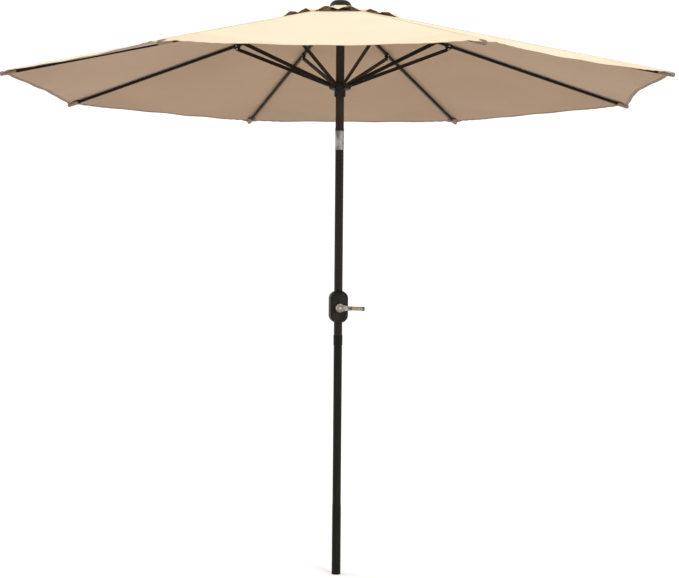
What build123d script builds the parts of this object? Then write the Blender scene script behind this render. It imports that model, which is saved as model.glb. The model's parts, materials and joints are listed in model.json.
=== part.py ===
from build123d import *
import os
from math import acos, atan2, cos, degrees, hypot, radians, sin, sqrt, tan

# Market umbrella: a two-piece pole with a tilt joint, a crank that lifts the runner, and an
# eight-rib vented canopy.  Millimetres, +Z up, origin at the bottom centre of the pole's foot.
# The crank faces -Y, and the flats of the octagonal canopy face +-X and +-Y.

# ---- Driving dimensions -------------------------------------------------------------------
HEIGHT = 2440.0            # foot to the top of the finial
RIB_COUNT = 8
RIM_R = 1405.0             # canopy corner, from the pole's axis
RIB_DROP = 14.0            # slope of an open rib below the horizontal, degrees
CLOSED_DROP = 83.0         # slope of a folded rib
PIVOT_R = 33.0             # ring wire that the ribs, or the struts, hinge on
CROWN_Z = 2397.0           # rib pivots
RUNNER_Z = 2079.0          # strut pivots on the open umbrella
JOINT_RUN = 485.0          # from the crown pivot to the strut joint, along the rib
JOINT_DROP = 15.5          # strut joint below the rib's centre line

POLE_R = 18.0
POLE_WALL = 1.2
PLUG_GAP = 0.05            # radial gap of a tube pushed into a tube
FOOT_R = 19.0
FOOT_TOP = 284.0           # the foot sleeve is full size up to here, then tapers
FOOT_TAPER = 16.0
FOOT_FLOOR = 2.0
SPLIT_Z = 1000.0           # the pole comes apart here
COUPLER_R = 19.4
COUPLER_H = 42.0
COUPLER_REACH = 60.0       # inner tube of the coupler, each way

HINGE_Z = 1847.5           # tilt pivot
BAND_R = 18.75
BAND_LOW = 1810.5
BAND_HIGH = 1889.0
BAND_NECK_H = 2.0          # shallow neck under the band, where the middle pole ends
BAND_NECK_IN = 0.9
TILT_RING_H = 12.0
TILT_RING_R = 19.2
TILT_MAX = 30.0
TONGUE_HALF = 7.0
MOVE_GAP = 0.3             # between pieces that move past each other
PIN_GAP = 0.05             # radial gap of a pin that turns
KNUCKLE_PLUG = 40.0
TILT_PIN_R = 4.0

BUTTON_Z = 1819.5
BUTTON_R = 6.0
BUTTON_PROUD = 1.0
BUTTON_TRAVEL = 3.0
BUTTON_STEM_R = 2.5
POCKET_FLOOR_Y = 6.0       # bottom of the button's pocket
CAP_BACK_Y = 13.0          # inner face of the button's cap
LATCH_HALF = 3.0
LATCH_Y = (-8.5, -2.5)
LATCH_LOW = 4.5            # latch block below the button's axis
SPRING_COIL_R = 4.2
SPRING_WIRE_R = 0.5

CRANK_AZIMUTH = 12.0       # the crank unit is turned this far from -Y towards +X
CRANK_DROOP = 2.0          # the parked handle points this far below the horizontal
AXLE_Z = 1138.6
AXLE_R = 4.0
HOUSING_W = 77.6
HOUSING_H = 136.0
HOUSING_Z = 1143.0
HOUSING_FRONT = 36.0
HOUSING_BACK = 30.0
HOUSING_WALL = 2.5
HOUSING_CORNER = 33.0      # corner radius seen from the front
HOUSING_EDGE = 13.0        # rounding of the front and back edges
BUSH_R = 6.0
BUSH_FLANGE_R = 8.0
SCREW_X = 30.0
SCREW_Z = 38.0
SCREW_R = 1.5
SCREW_HEAD_R = 3.1
SCREW_HEAD_H = 2.0
SCREW_SINK = 4.5           # screw seat below the back face
BOSS_R = 4.5
DRUM_R = 10.0              # brake drum inside the front shell
DRUM_DEPTH = 20.0
SPOOL_FLANGE_R = 12.0
SPOOL_CORE_R = 8.0
SPOOL_HALF = 10.5
HUB_R = 17.8
HUB_BACK = 37.0            # back face of the crank's hub, in front of the pole's axis
HUB_DEPTH = 14.0
KNUCKLE_X = 41.0           # fold pivot of the grip, from the crank's axis
KNUCKLE_R = 9.4
ARM_DEPTH = 11.0
HUB_RECESS_R = 13.5        # recessed ring of the hub, between its rim and its boss
HUB_BOSS_R = 7.5
HUB_RECESS = 4.0
HUB_WEB = 4.4
NUT_R = 6.5
NUT_H = 3.5
TONGUE_GRIP = 7.0
EYE_GRIP_R = 5.2
GRIP_PIN_R = 2.0
SPINDLE_R = 3.0
GRIP_R = 8.8
GRIP_START = 49.0
GRIP_END = 95.0
GRIP_CAP_END = 106.0

RIB_W = 9.0
RIB_H = 12.0
RIB_WALL = 1.2
STRUT_W = 7.0
STRUT_H = 15.2
STRUT_CORNER = 1.0         # rolled corner of the channel
STRUT_WALL = 1.2
STRUT_SOLID = 24.0         # solid end of a strut, from its pivot
RIB_SOLID = 24.0           # solid crown end of a rib, from its pivot
WIRE_R = 1.5
EYE_R = 2.1                # loose eye on a bent ring wire
JOINT_PIN_R = 2.5
JOINT_HEAD_R = 5.0
RIVET_R = 2.0
RIVET_HEAD_R = 3.6
RIVET_HEAD_H = 1.6
BRACKET_HALF = 14.0
BRACKET_WALL = 1.5
BRACKET_EAR_R = 7.0
BRACKET_TOP = RIB_H / 2 + 1.3
TIP_CAP_BACK = 28.0
TIP_CAP_NOSE = 8.0
TIP_CAP_HALF_W = 5.8
TIP_CAP_HALF_H = 7.0

CROWN_R = 42.0
CROWN_NECK_R = 24.0
CROWN_ABOVE = 12.0         # crown's top and flange underside, from the pivots
CROWN_NECK = 25.0
CROWN_ROOF = 4.0           # thickness left over the rib slots
SLOT_GAP = 0.6             # end gap of a rib or strut in its slot
RUNNER_R = 46.0
RUNNER_BELOW = 14.0        # flange faces from the strut pivots
RUNNER_ABOVE = 8.0
RUNNER_BORE_R = 20.5
RUNNER_SLEEVE_R = 24.0
RUNNER_LOW = 2034.0
CORD_HOLE_R = 1.2
CORD_HOLE_Y = -24.5
PULLEY_Z = 2350.0
PULLEY_Y = -9.0
PULLEY_R = 11.0
PULLEY_HALF = 3.0
PULLEY_GROOVE = 1.9
PULLEY_PIN_R = 2.5
PULLEY_SLOT = 14.0         # half height of the pole's slot
STUD_R = 4.0               # finial's stud in the crown

FABRIC = 3.0               # thickness of the canopy's stand-in slabs
FABRIC_LIFT = 8.6          # underside of the main canopy above the ribs' centre line
CAP_LIFT = 18.0            # underside of the vent cap above the same line
VENT_R = 185.0             # opening in the main canopy
CAP_RIM_R = 262.0
CAP_START_R = 50.5
RIM_BOW = 20.0             # the rim is this much nearer the pole between two ribs
CAP_BOW = 6.0
GORE_GAP = 0.2
FINIAL_R = 46.0
FINIAL_TOP_R = 27.0
FINIAL_LOW = 2414.5
FINIAL_SHOULDER = 5.0
FINIAL_WALL = 3.0

# ---- Worked-out geometry ------------------------------------------------------------------
POLE_IN_R = POLE_R - POLE_WALL
PLUG_R = POLE_IN_R - PLUG_GAP
HALF_STEP = 180.0 / RIB_COUNT
RIB_LENGTH = (RIM_R - 15.0 - PIVOT_R) / cos(radians(RIB_DROP))
POLE_TOP = CROWN_Z + 6.0
CROWN_TOP = CROWN_Z + CROWN_ABOVE
HUB_FRONT = HUB_BACK + HUB_DEPTH
ARM_Y = -(HUB_BACK + HUB_DEPTH / 2 + 1.5)
NECK_Z = BAND_LOW - BAND_NECK_H


def joint_place(drop):
    """Radius and height of a strut joint when the ribs slope down by this many degrees."""
    a = radians(drop)
    radius = PIVOT_R + JOINT_RUN * cos(a) - JOINT_DROP * sin(a)
    return radius, CROWN_Z - JOINT_RUN * sin(a) - JOINT_DROP * cos(a)


OPEN_R, OPEN_Z = joint_place(RIB_DROP)
SHUT_R, SHUT_Z = joint_place(CLOSED_DROP)
STRUT_LENGTH = hypot(OPEN_R - PIVOT_R, OPEN_Z - RUNNER_Z)
STRUT_RISE = degrees(atan2(OPEN_Z - RUNNER_Z, OPEN_R - PIVOT_R))
SHUT_RISE = degrees(acos((SHUT_R - PIVOT_R) / STRUT_LENGTH))
SHUT_RUNNER_Z = SHUT_Z - STRUT_LENGTH * sin(radians(SHUT_RISE))
FOLD = CLOSED_DROP - RIB_DROP
STRUT_TURN = FOLD + SHUT_RISE - STRUT_RISE
RUNNER_TRAVEL = RUNNER_Z - SHUT_RUNNER_Z
BAND_RELIEF_R = BAND_R / cos(radians(TILT_MAX / 2)) + 0.2
LATCH_TOP = HINGE_Z - BAND_R - MOVE_GAP
SLOT_START = PIVOT_R - max(RIB_H, STRUT_H) / 2 - SLOT_GAP

nodes = {}


# ---- Helpers ------------------------------------------------------------------------------
def rod(radius, low, high, x=0.0, y=0.0):
    """Upright cylinder between two heights."""
    return Pos(x, y, (low + high) / 2) * Cylinder(radius, high - low)


def tube(outer, inner, low, high):
    """Upright tube."""
    return rod(outer, low, high) - rod(inner, low - 1, high + 1)


def block(x, y, z):
    """Box between the pairs of limits x, y and z."""
    centre = Pos((x[0] + x[1]) / 2, (y[0] + y[1]) / 2, (z[0] + z[1]) / 2)
    return centre * Box(x[1] - x[0], y[1] - y[0], z[1] - z[0])


def rod_x(radius, low, high, y=0.0, z=0.0):
    """Cylinder along X."""
    return Pos((low + high) / 2, y, z) * Rot(0, 90, 0) * Cylinder(radius, high - low)


def rod_y(radius, low, high, x=0.0, z=0.0):
    """Cylinder along Y."""
    return Pos(x, (low + high) / 2, z) * Rot(90, 0, 0) * Cylinder(radius, high - low)


def rod_z_at(x, y, radius, half):
    """Cylinder along Z, centred on z = 0."""
    return Pos(x, y, 0) * Cylinder(radius, 2 * half)


def coil(radius, wire, pitch, length):
    """Open coil spring along Z, from z = 0."""
    path = Helix(pitch, length, radius)
    section = Plane(origin=path @ 0, z_dir=path % 0) * Circle(wire)
    return sweep(section, path=path)


def ring(radius, wire, z):
    """Level ring of round wire."""
    return Pos(0, 0, z) * Torus(radius, wire)


def around(shape, azimuths):
    """Copies of a shape, turned about the pole's axis."""
    return [Rot(0, 0, a) * shape for a in azimuths]


def rib_azimuth(k):
    """Direction of rib k, counted from 1."""
    return HALF_STEP + (k - 1) * 2 * HALF_STEP


RIB_AZIMUTHS = [rib_azimuth(k) for k in range(1, RIB_COUNT + 1)]


def keep(name, *shapes):
    """File the solids of one sub-part under its node's name."""
    solids = [solid for shape in shapes for solid in shape.solids()]
    nodes[name] = solids[0] if len(solids) == 1 else Compound(children=solids)


# ---- Pole ---------------------------------------------------------------------------------
def foot_sleeve():
    """Thicker sleeve at the foot, closed at the bottom, that a stand takes hold of."""
    body = rod(FOOT_R, 0, FOOT_TOP)
    taper = Pos(0, 0, FOOT_TOP + FOOT_TAPER / 2) * Cone(FOOT_R, POLE_R + 0.3, FOOT_TAPER)
    return body + taper - rod(POLE_R + PLUG_GAP, FOOT_FLOOR, FOOT_TOP + FOOT_TAPER + 1)


def lower_pole():
    """Tube from the foot to the coupler."""
    return tube(POLE_R, POLE_IN_R, FOOT_FLOOR, SPLIT_Z - 1)


def pole_coupler():
    """Collar with an inner tube: each half of the pole pushes into the gap between them."""
    low = SPLIT_Z - COUPLER_H / 2
    high = SPLIT_Z + COUPLER_H / 2
    collar = tube(COUPLER_R, POLE_R + PLUG_GAP, low, high)
    low_rims = collar.edges().filter_by(GeomType.CIRCLE).group_by(Axis.Z)[0]
    collar = chamfer(low_rims.sort_by(SortBy.RADIUS)[-1:], 0.9)
    inner = tube(PLUG_R, PLUG_R - 2, SPLIT_Z - COUPLER_REACH, SPLIT_Z + COUPLER_REACH)
    web = tube(COUPLER_R - 0.5, PLUG_R - 1, SPLIT_Z - 1, SPLIT_Z + 1)
    return collar + inner + web


def middle_pole():
    """Tube from the coupler to the tilt joint, holed front and back for the crank's bushes."""
    body = tube(POLE_R, POLE_IN_R, SPLIT_Z + 1, NECK_Z)
    return body - crank_turn(rod_y(BUSH_R + PLUG_GAP, -POLE_R - 5, POLE_R + 5, z=AXLE_Z))


def upper_pole():
    """Tube from the tilt joint to the crown, slotted for the cord pulley."""
    body = tube(POLE_R, POLE_IN_R, BAND_HIGH + TILT_RING_H, POLE_TOP)
    slot = block((-4, 4), (-POLE_R - 2, 0), (PULLEY_Z - PULLEY_SLOT, PULLEY_Z + PULLEY_SLOT))
    return body - slot - rod_x(PULLEY_PIN_R, -POLE_R - 2, POLE_R + 2, PULLEY_Y, PULLEY_Z)


# ---- Crank unit ---------------------------------------------------------------------------
def crank_turn(shape):
    """Turn a shape of the crank unit from -Y to where the unit faces."""
    return Rot(0, 0, CRANK_AZIMUTH) * shape


def handle_turn(shape):
    """Droop a shape of the handle about the crank's axis, then face it the unit's way."""
    return crank_turn(Pos(0, 0, AXLE_Z) * Rot(0, CRANK_DROOP, 0) * shape)


def housing_form(inset):
    """Rounded case around the pole, drawn in by the given amount all round."""
    low_y = -HOUSING_FRONT + inset
    high_y = HOUSING_BACK - inset
    half_w = HOUSING_W / 2 - inset
    half_h = HOUSING_H / 2 - inset
    body = block((-half_w, half_w), (low_y, high_y), (HOUSING_Z - half_h, HOUSING_Z + half_h))
    body = fillet(body.edges().filter_by(Axis.Y), HOUSING_CORNER - inset)
    rims = body.faces().filter_by(Axis.Y).edges()
    return fillet(rims, HOUSING_EDGE - inset)


def screw_places():
    """The four housing screws, as x and z."""
    return [(x, HOUSING_Z + z) for x in (-SCREW_X, SCREW_X) for z in (-SCREW_Z, SCREW_Z)]


def housing_half(front):
    """Front or back shell of the crank's case, with its screw bosses."""
    side = block((-60, 60), (-60, 0) if front else (0, 60), (HOUSING_Z - 90, HOUSING_Z + 90))
    solid = housing_form(0) & side
    hollow = housing_form(HOUSING_WALL) & side
    shell = solid - hollow
    reach = HOUSING_FRONT if front else HOUSING_BACK
    boss_y = (1.5 - reach, 0) if front else (0, reach - 1.5)
    for x, z in screw_places():
        shell += rod_y(BOSS_R, *boss_y, x, z) & solid
    if front:
        shell += rod_y(DRUM_R + HOUSING_WALL, 1.5 - reach, -DRUM_DEPTH - 0.5, z=AXLE_Z)
        shell -= rod_y(DRUM_R, HOUSING_WALL - reach, -DRUM_DEPTH, z=AXLE_Z)
        shell -= rod_y(AXLE_R + 0.5, -reach - 1, -DRUM_DEPTH, z=AXLE_Z)
    for x, z in screw_places():
        if front:
            shell -= rod_y(SCREW_R, -16, 1, x, z)
        else:
            shell -= rod_y(SCREW_R + MOVE_GAP, -1, reach + 1, x, z)
            shell -= rod_y(SCREW_HEAD_R + MOVE_GAP, reach - SCREW_SINK, reach + 1, x, z)
    shell -= rod(POLE_R + PLUG_GAP, HOUSING_Z - 90, HOUSING_Z + 90)
    return crank_turn(shell)


def housing_screw(x, z):
    """Pan-head screw, driven from the back, with a cross recess."""
    seat = HOUSING_BACK - SCREW_SINK
    screw = rod_y(SCREW_R, -15, seat, x, z)
    screw += rod_y(SCREW_HEAD_R, seat, seat + SCREW_HEAD_H, x, z)
    top = (seat + SCREW_HEAD_H / 2, HOUSING_BACK)
    screw -= block((x - 1.8, x + 1.8), top, (z - 0.4, z + 0.4))
    screw -= block((x - 0.4, x + 0.4), top, (z - 1.8, z + 1.8))
    return crank_turn(screw)


def axle_bush(side):
    """Flanged bush in the pole's wall."""
    sleeve = rod_y(BUSH_R, 15.5, POLE_R + 0.1, z=AXLE_Z)
    sleeve += rod_y(BUSH_FLANGE_R, POLE_R + 0.1, 20, z=AXLE_Z)
    bush = sleeve - rod_y(AXLE_R + PIN_GAP, 10, 30, z=AXLE_Z)
    return crank_turn(bush if side > 0 else Rot(0, 0, 180) * bush)


def cord_spool():
    """Spool inside the pole, moulded on the crank's steel axle."""
    spool = rod_y(SPOOL_CORE_R, -SPOOL_HALF, SPOOL_HALF, z=AXLE_Z)
    for low in (-SPOOL_HALF, SPOOL_HALF - 1.6):
        spool += rod_y(SPOOL_FLANGE_R, low, low + 1.6, z=AXLE_Z)
    spool += rod_y(AXLE_R, -HUB_FRONT - 0.5, 21, z=AXLE_Z)
    spool -= rod_y(1.4, -2, 2, x=SPOOL_CORE_R - 2.5, z=AXLE_Z)
    return crank_turn(spool)


def brake_spring():
    """Wrap spring that drags in the drum, so that the canopy stays where it is wound to."""
    spring = Rot(90, 0, 0) * coil(8.4, 0.9, 2.3, 6.9)
    return crank_turn(Pos(0, -22, AXLE_Z) * spring)


def crank_arm():
    """Cast hub and arm, ending in the fork that the grip folds in."""
    hub_end = Circle(HUB_R - 3).edges()
    fork_end = (Pos(KNUCKLE_X - KNUCKLE_R, 0) * Circle(KNUCKLE_R)).edges()
    front = ARM_Y + ARM_DEPTH / 2
    face = Plane(origin=(0, front, 0), x_dir=(1, 0, 0), z_dir=(0, -1, 0))
    arm = extrude(face * make_hull(hub_end + fork_end), ARM_DEPTH)
    arm += rod_y(HUB_R, -HUB_FRONT, -HUB_BACK)
    arm += rod_z_at(KNUCKLE_X, ARM_Y, ARM_DEPTH / 2, KNUCKLE_R)
    recess_y = (-HUB_FRONT - 1, -HUB_FRONT + HUB_RECESS)
    recess = rod_y(HUB_RECESS_R, *recess_y) - rod_y(HUB_BOSS_R, -60, -30)
    for turn in (30, 150, 270):
        recess -= Rot(0, turn, 0) * block((0, 20), (-60, -30), (-HUB_WEB / 2, HUB_WEB / 2))
    arm -= recess
    arm -= rod_y(AXLE_R, -60, -30)
    slot = (-TONGUE_GRIP / 2 - MOVE_GAP, TONGUE_GRIP / 2 + MOVE_GAP)
    reach = EYE_GRIP_R + MOVE_GAP
    arm -= rod_z_at(KNUCKLE_X, ARM_Y, reach, slot[1])
    arm -= block((KNUCKLE_X - 0.1, KNUCKLE_X + 20), (ARM_Y - 20, ARM_Y + 20), slot)
    arm -= block((KNUCKLE_X - reach, KNUCKLE_X + 20), (ARM_Y - 20, ARM_Y), slot)
    arm -= rod_z_at(KNUCKLE_X, ARM_Y, GRIP_PIN_R, 20)
    return handle_turn(arm)


def crank_fasteners():
    """Hex nut on the axle's end, and the pin that the grip folds on."""
    nut_face = Plane(origin=(0, -HUB_FRONT, 0), x_dir=(1, 0, 0), z_dir=(0, -1, 0))
    nut = extrude(nut_face * RegularPolygon(NUT_R, 6), NUT_H) - rod_y(AXLE_R, -60, -30)
    nut = chamfer(nut.edges().group_by(Axis.Y)[0].filter_by(GeomType.LINE), 0.6)
    pin = rod_z_at(KNUCKLE_X, ARM_Y, GRIP_PIN_R, KNUCKLE_R - 0.2)
    return handle_turn(nut), handle_turn(pin)


def grip_spindle():
    """Eye, shaft and end knob that the spinning grip turns on."""
    eye = rod_z_at(KNUCKLE_X, ARM_Y, EYE_GRIP_R, TONGUE_GRIP / 2)
    neck = block((KNUCKLE_X, GRIP_START - 2), (ARM_Y - 4, ARM_Y + 4),
                 (-TONGUE_GRIP / 2, TONGUE_GRIP / 2))
    collar = rod_x(GRIP_R, GRIP_START - 2.2, GRIP_START, ARM_Y)
    shaft = rod_x(SPINDLE_R, GRIP_START - 1, GRIP_END + 2, ARM_Y)
    knob = rod_x(GRIP_R + 0.5, GRIP_END + MOVE_GAP, GRIP_CAP_END, ARM_Y)
    knob = fillet(knob.edges().sort_by(Axis.X)[-1:], 2.5)
    spindle = eye + neck + collar + shaft + knob
    return handle_turn(spindle - rod_z_at(KNUCKLE_X, ARM_Y, GRIP_PIN_R + PIN_GAP, 20))


def grip_sleeve():
    """Grip that spins on the spindle, with a raised ring at its outer end."""
    low = GRIP_START + MOVE_GAP
    sleeve = rod_x(GRIP_R - 0.4, low, GRIP_END, ARM_Y)
    sleeve += rod_x(GRIP_R + 0.3, GRIP_END - 10, GRIP_END - 1.5, ARM_Y)
    sleeve += rod_x(GRIP_R + 0.3, low, low + 4, ARM_Y)
    sleeve = fillet(sleeve.edges().filter_by(GeomType.CIRCLE).sort_by(SortBy.RADIUS)[-4:], 0.5)
    return handle_turn(sleeve - rod_x(SPINDLE_R + PIN_GAP, 0, 120, ARM_Y))


# ---- Tilt joint ---------------------------------------------------------------------------
def hinge_rod(radius):
    """Cylinder about the tilt pivot, as wide as the joint."""
    return rod_x(radius, -30, 30, z=HINGE_Z)


def tilt_lower_knuckle():
    """Cast fork: a plug in the middle pole and two round ears."""
    base = rod(BAND_R, BAND_LOW, HINGE_Z)
    ears = hinge_rod(BAND_R) & rod(BAND_R, HINGE_Z, BAND_HIGH)
    half = TONGUE_HALF + MOVE_GAP
    slab = block((-half, half), (-30, 30), (HINGE_Z - 30, HINGE_Z + 30))
    gap = hinge_rod(BAND_RELIEF_R) & slab
    gap += block((-half, half), (-30, 30), (HINGE_Z, BAND_HIGH + 5))
    knuckle = base + ears - gap
    knuckle += rod(BAND_R - BAND_NECK_IN, NECK_Z, BAND_LOW)
    knuckle += rod(PLUG_R, BAND_LOW - KNUCKLE_PLUG, NECK_Z)
    knuckle -= rod(PLUG_R - 3, BAND_LOW - KNUCKLE_PLUG - 1, NECK_Z - 3)
    knuckle -= hinge_rod(TILT_PIN_R)
    knuckle -= rod_y(BUTTON_R + MOVE_GAP, POCKET_FLOOR_Y, 30, z=BUTTON_Z)
    knuckle -= rod_y(BUTTON_STEM_R + MOVE_GAP, -6, 10, z=BUTTON_Z)
    latch_x = (-LATCH_HALF - 0.4, LATCH_HALF + 0.4)
    latch_y = (LATCH_Y[0] - BUTTON_TRAVEL - 0.5, LATCH_Y[1] + 1)
    knuckle -= block(latch_x, latch_y, (BUTTON_Z - LATCH_LOW - 0.5, HINGE_Z))
    return knuckle


def tilt_upper_knuckle():
    """Cast tongue between the ears, with hollowed shoulders and a plug in the upper pole."""
    wide = block((-30, 30), (-30, 30), (HINGE_Z, BAND_HIGH))
    narrow = block((-TONGUE_HALF, TONGUE_HALF), (-30, 30), (HINGE_Z - 30, BAND_HIGH))
    cylinder = rod(BAND_R, HINGE_Z - 30, BAND_HIGH)
    shoulders = (cylinder & wide) - hinge_rod(BAND_R + MOVE_GAP)
    tongue_profile = hinge_rod(BAND_R) + block((-30, 30), (-30, 30), (HINGE_Z, BAND_HIGH))
    tongue = cylinder & narrow & tongue_profile
    knuckle = shoulders + tongue
    knuckle += rod(PLUG_R, BAND_HIGH, BAND_HIGH + TILT_RING_H + 34)
    knuckle -= rod(PLUG_R - 3, BAND_HIGH + 4, BAND_HIGH + TILT_RING_H + 40)
    return knuckle - hinge_rod(TILT_PIN_R + PIN_GAP)


def tilt_pin():
    """Steel pivot pin, just short of the band's surface at each end."""
    reach = BAND_R - 0.9
    pin = rod_x(TILT_PIN_R, -reach, reach, z=HINGE_Z)
    return chamfer(pin.edges().filter_by(GeomType.CIRCLE), 0.5)


def tilt_button():
    """Push button at the back, on a stem that carries the latch block."""
    cap = rod_y(BUTTON_R, CAP_BACK_Y, BAND_R + BUTTON_PROUD, z=BUTTON_Z)
    cap = fillet(cap.edges().sort_by(Axis.Y)[-1:], 0.8)
    stem = rod_y(BUTTON_STEM_R, -4, CAP_BACK_Y + 1, z=BUTTON_Z)
    latch = block((-LATCH_HALF, LATCH_HALF), LATCH_Y, (BUTTON_Z - LATCH_LOW, LATCH_TOP))
    return cap + stem + latch


def tilt_spring():
    """Coil around the button's stem that pushes the button out."""
    length = CAP_BACK_Y - POCKET_FLOOR_Y - 2 * SPRING_WIRE_R - 0.2
    spring = Rot(-90, 0, 0) * coil(SPRING_COIL_R, SPRING_WIRE_R, length / 4, length)
    return Pos(0, POCKET_FLOOR_Y + SPRING_WIRE_R + 0.1, BUTTON_Z) * spring


def tilt_upper_ring():
    """Plastic trim ring between the tilt joint and the upper pole."""
    body = tube(TILT_RING_R, PLUG_R + PLUG_GAP, BAND_HIGH, BAND_HIGH + TILT_RING_H)
    outer = body.edges().filter_by(GeomType.CIRCLE).sort_by(SortBy.RADIUS)[-2:]
    return chamfer(outer, 0.6)


# ---- Crown and runner ---------------------------------------------------------------------
def radial_slots(width, low, high, reach):
    """Slots for the ribs or struts, from beside the pole out through the rim."""
    slot = block((SLOT_START, reach), (-width / 2, width / 2), (low, high))
    return around(slot, RIB_AZIMUTHS)


def crown():
    """Hub at the top of the pole that the ribs hinge in."""
    flange_low = CROWN_Z - CROWN_ABOVE
    body = rod(CROWN_NECK_R, CROWN_Z - CROWN_NECK, flange_low + 1)
    body += rod(CROWN_R, flange_low, CROWN_TOP)
    body = fillet(body.edges().group_by(Axis.Z)[-1], 2)
    for slot in radial_slots(RIB_W + 0.8, CROWN_Z - 30, CROWN_TOP - CROWN_ROOF, CROWN_R + 10):
        body -= slot
    body -= rod(POLE_R + PLUG_GAP, CROWN_Z - 30, POLE_TOP)
    body -= rod(STUD_R, CROWN_Z, CROWN_TOP + 1)
    return body - ring(PIVOT_R, WIRE_R + 0.05, CROWN_Z)


def crown_pins():
    """Ring wire through the eight rib eyes, and the pulley's pin through the pole."""
    reach = sqrt(POLE_R**2 - PULLEY_Y**2) - 0.2
    return ring(PIVOT_R, WIRE_R, CROWN_Z), rod_x(PULLEY_PIN_R, -reach, reach, PULLEY_Y, PULLEY_Z)


def crown_pulley():
    """Grooved wheel that the lift cord turns over."""
    wheel = rod_x(PULLEY_R, -PULLEY_HALF, PULLEY_HALF, PULLEY_Y, PULLEY_Z)
    groove = Rot(0, 90, 0) * Torus(PULLEY_R + 0.4, PULLEY_GROOVE)
    wheel -= Pos(0, PULLEY_Y, PULLEY_Z) * groove
    return wheel - rod_x(PULLEY_PIN_R + PIN_GAP, -5, 5, PULLEY_Y, PULLEY_Z)


def runner():
    """Sliding hub: a sleeve over the pole and a flange with a slot for each strut."""
    flange_low = RUNNER_Z - RUNNER_BELOW
    flange_high = RUNNER_Z + RUNNER_ABOVE
    body = rod(RUNNER_SLEEVE_R, RUNNER_LOW, flange_low + 1)
    flange = rod(RUNNER_R, flange_low, flange_high)
    flange = fillet(flange.edges().group_by(Axis.Z)[0], 5)
    body += fillet(flange.edges().group_by(Axis.Z)[-1], 2)
    body = fillet(body.edges().group_by(Axis.Z)[0], 1.5)
    for slot in radial_slots(STRUT_W + 1.2, flange_low - 1, flange_high + 4, RUNNER_R + 10):
        body -= slot
    body -= rod(RUNNER_BORE_R, RUNNER_LOW - 1, flange_high + 4)
    body -= rod(CORD_HOLE_R, flange_low - 2, flange_high + 4, y=CORD_HOLE_Y)
    return body - ring(PIVOT_R, WIRE_R + 0.05, RUNNER_Z)


def runner_ring():
    """Ring wire of the runner, as the eight lengths that lie inside its lands."""
    wire = ring(PIVOT_R, WIRE_R, RUNNER_Z)
    for slot in radial_slots(STRUT_W + 1.6, RUNNER_Z - 5, RUNNER_Z + 5, RUNNER_R):
        wire -= slot
    return wire


def finial():
    """Flat-topped dome that screws the canopy down on to the crown."""
    shoulder = FINIAL_LOW + FINIAL_SHOULDER
    inner_r = FINIAL_R - FINIAL_WALL
    inner_top = (FINIAL_TOP_R - 2, HEIGHT - 4)
    with BuildPart() as dome:
        with BuildSketch(Plane.XZ):
            with BuildLine():
                Line((0, HEIGHT), (FINIAL_TOP_R, HEIGHT))
                RadiusArc((FINIAL_TOP_R, HEIGHT), (FINIAL_R, shoulder), 30)
                Line((FINIAL_R, shoulder), (FINIAL_R, FINIAL_LOW))
                Line((FINIAL_R, FINIAL_LOW), (inner_r, FINIAL_LOW))
                Line((inner_r, FINIAL_LOW), (inner_r, shoulder - 1))
                Line((inner_r, shoulder - 1), inner_top)
                Line(inner_top, (0, inner_top[1]))
                Line((0, inner_top[1]), (0, HEIGHT))
            make_face()
        revolve(axis=Axis.Z)
    return dome.part + rod(STUD_R, CROWN_TOP - 14, HEIGHT - 2)


# ---- Ribs, struts and canopy --------------------------------------------------------------
def rib_frame(k):
    """Frame at rib k's crown pivot: x along the rib, y across it, z out of its top."""
    a = radians(rib_azimuth(k))
    d = radians(RIB_DROP)
    along = (cos(a) * cos(d), sin(a) * cos(d), -sin(d))
    up = (cos(a) * sin(d), sin(a) * sin(d), cos(d))
    pivot = (PIVOT_R * cos(a), PIVOT_R * sin(a), CROWN_Z)
    return Plane(origin=pivot, x_dir=along, z_dir=up).location


def strut_frame(k):
    """Frame at the strut joint on rib k: x along the strut towards the runner."""
    a = radians(rib_azimuth(k))
    d = radians(STRUT_RISE)
    along = (-cos(a) * cos(d), -sin(a) * cos(d), -sin(d))
    up = (-cos(a) * sin(d), -sin(a) * sin(d), cos(d))
    joint = (OPEN_R * cos(a), OPEN_R * sin(a), OPEN_Z)
    return Plane(origin=joint, x_dir=along, z_dir=up).location


def rib():
    """Rectangular steel tube with a round solid eye at the crown end, open at the tip."""
    body = rod_y(RIB_H / 2, -RIB_W / 2, RIB_W / 2)
    body += block((0, RIB_LENGTH), (-RIB_W / 2, RIB_W / 2), (-RIB_H / 2, RIB_H / 2))
    half_w = RIB_W / 2 - RIB_WALL
    half_h = RIB_H / 2 - RIB_WALL
    body -= block((RIB_SOLID, RIB_LENGTH + 1), (-half_w, half_w), (-half_h, half_h))
    body -= rod_y(RIVET_R, -RIB_W, RIB_W, JOINT_RUN)
    return body - rod_y(EYE_R, -RIB_W, RIB_W)


def rib_bracket():
    """Pressed U over the rib, whose two ears carry the strut's pin."""
    inner = RIB_W / 2 + 0.1
    outer = inner + BRACKET_WALL
    x = (JOINT_RUN - BRACKET_HALF, JOINT_RUN + BRACKET_HALF)
    body = block(x, (-outer, outer), (4 - JOINT_DROP, BRACKET_TOP))
    body += rod_y(BRACKET_EAR_R, -outer, outer, JOINT_RUN, -JOINT_DROP)
    body -= block((x[0] - 1, x[1] + 1), (-inner, inner), (-30, RIB_H / 2))
    body -= rod_y(JOINT_PIN_R, -10, 10, JOINT_RUN, -JOINT_DROP)
    return body - rod_y(RIVET_R, -10, 10, JOINT_RUN)


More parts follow.
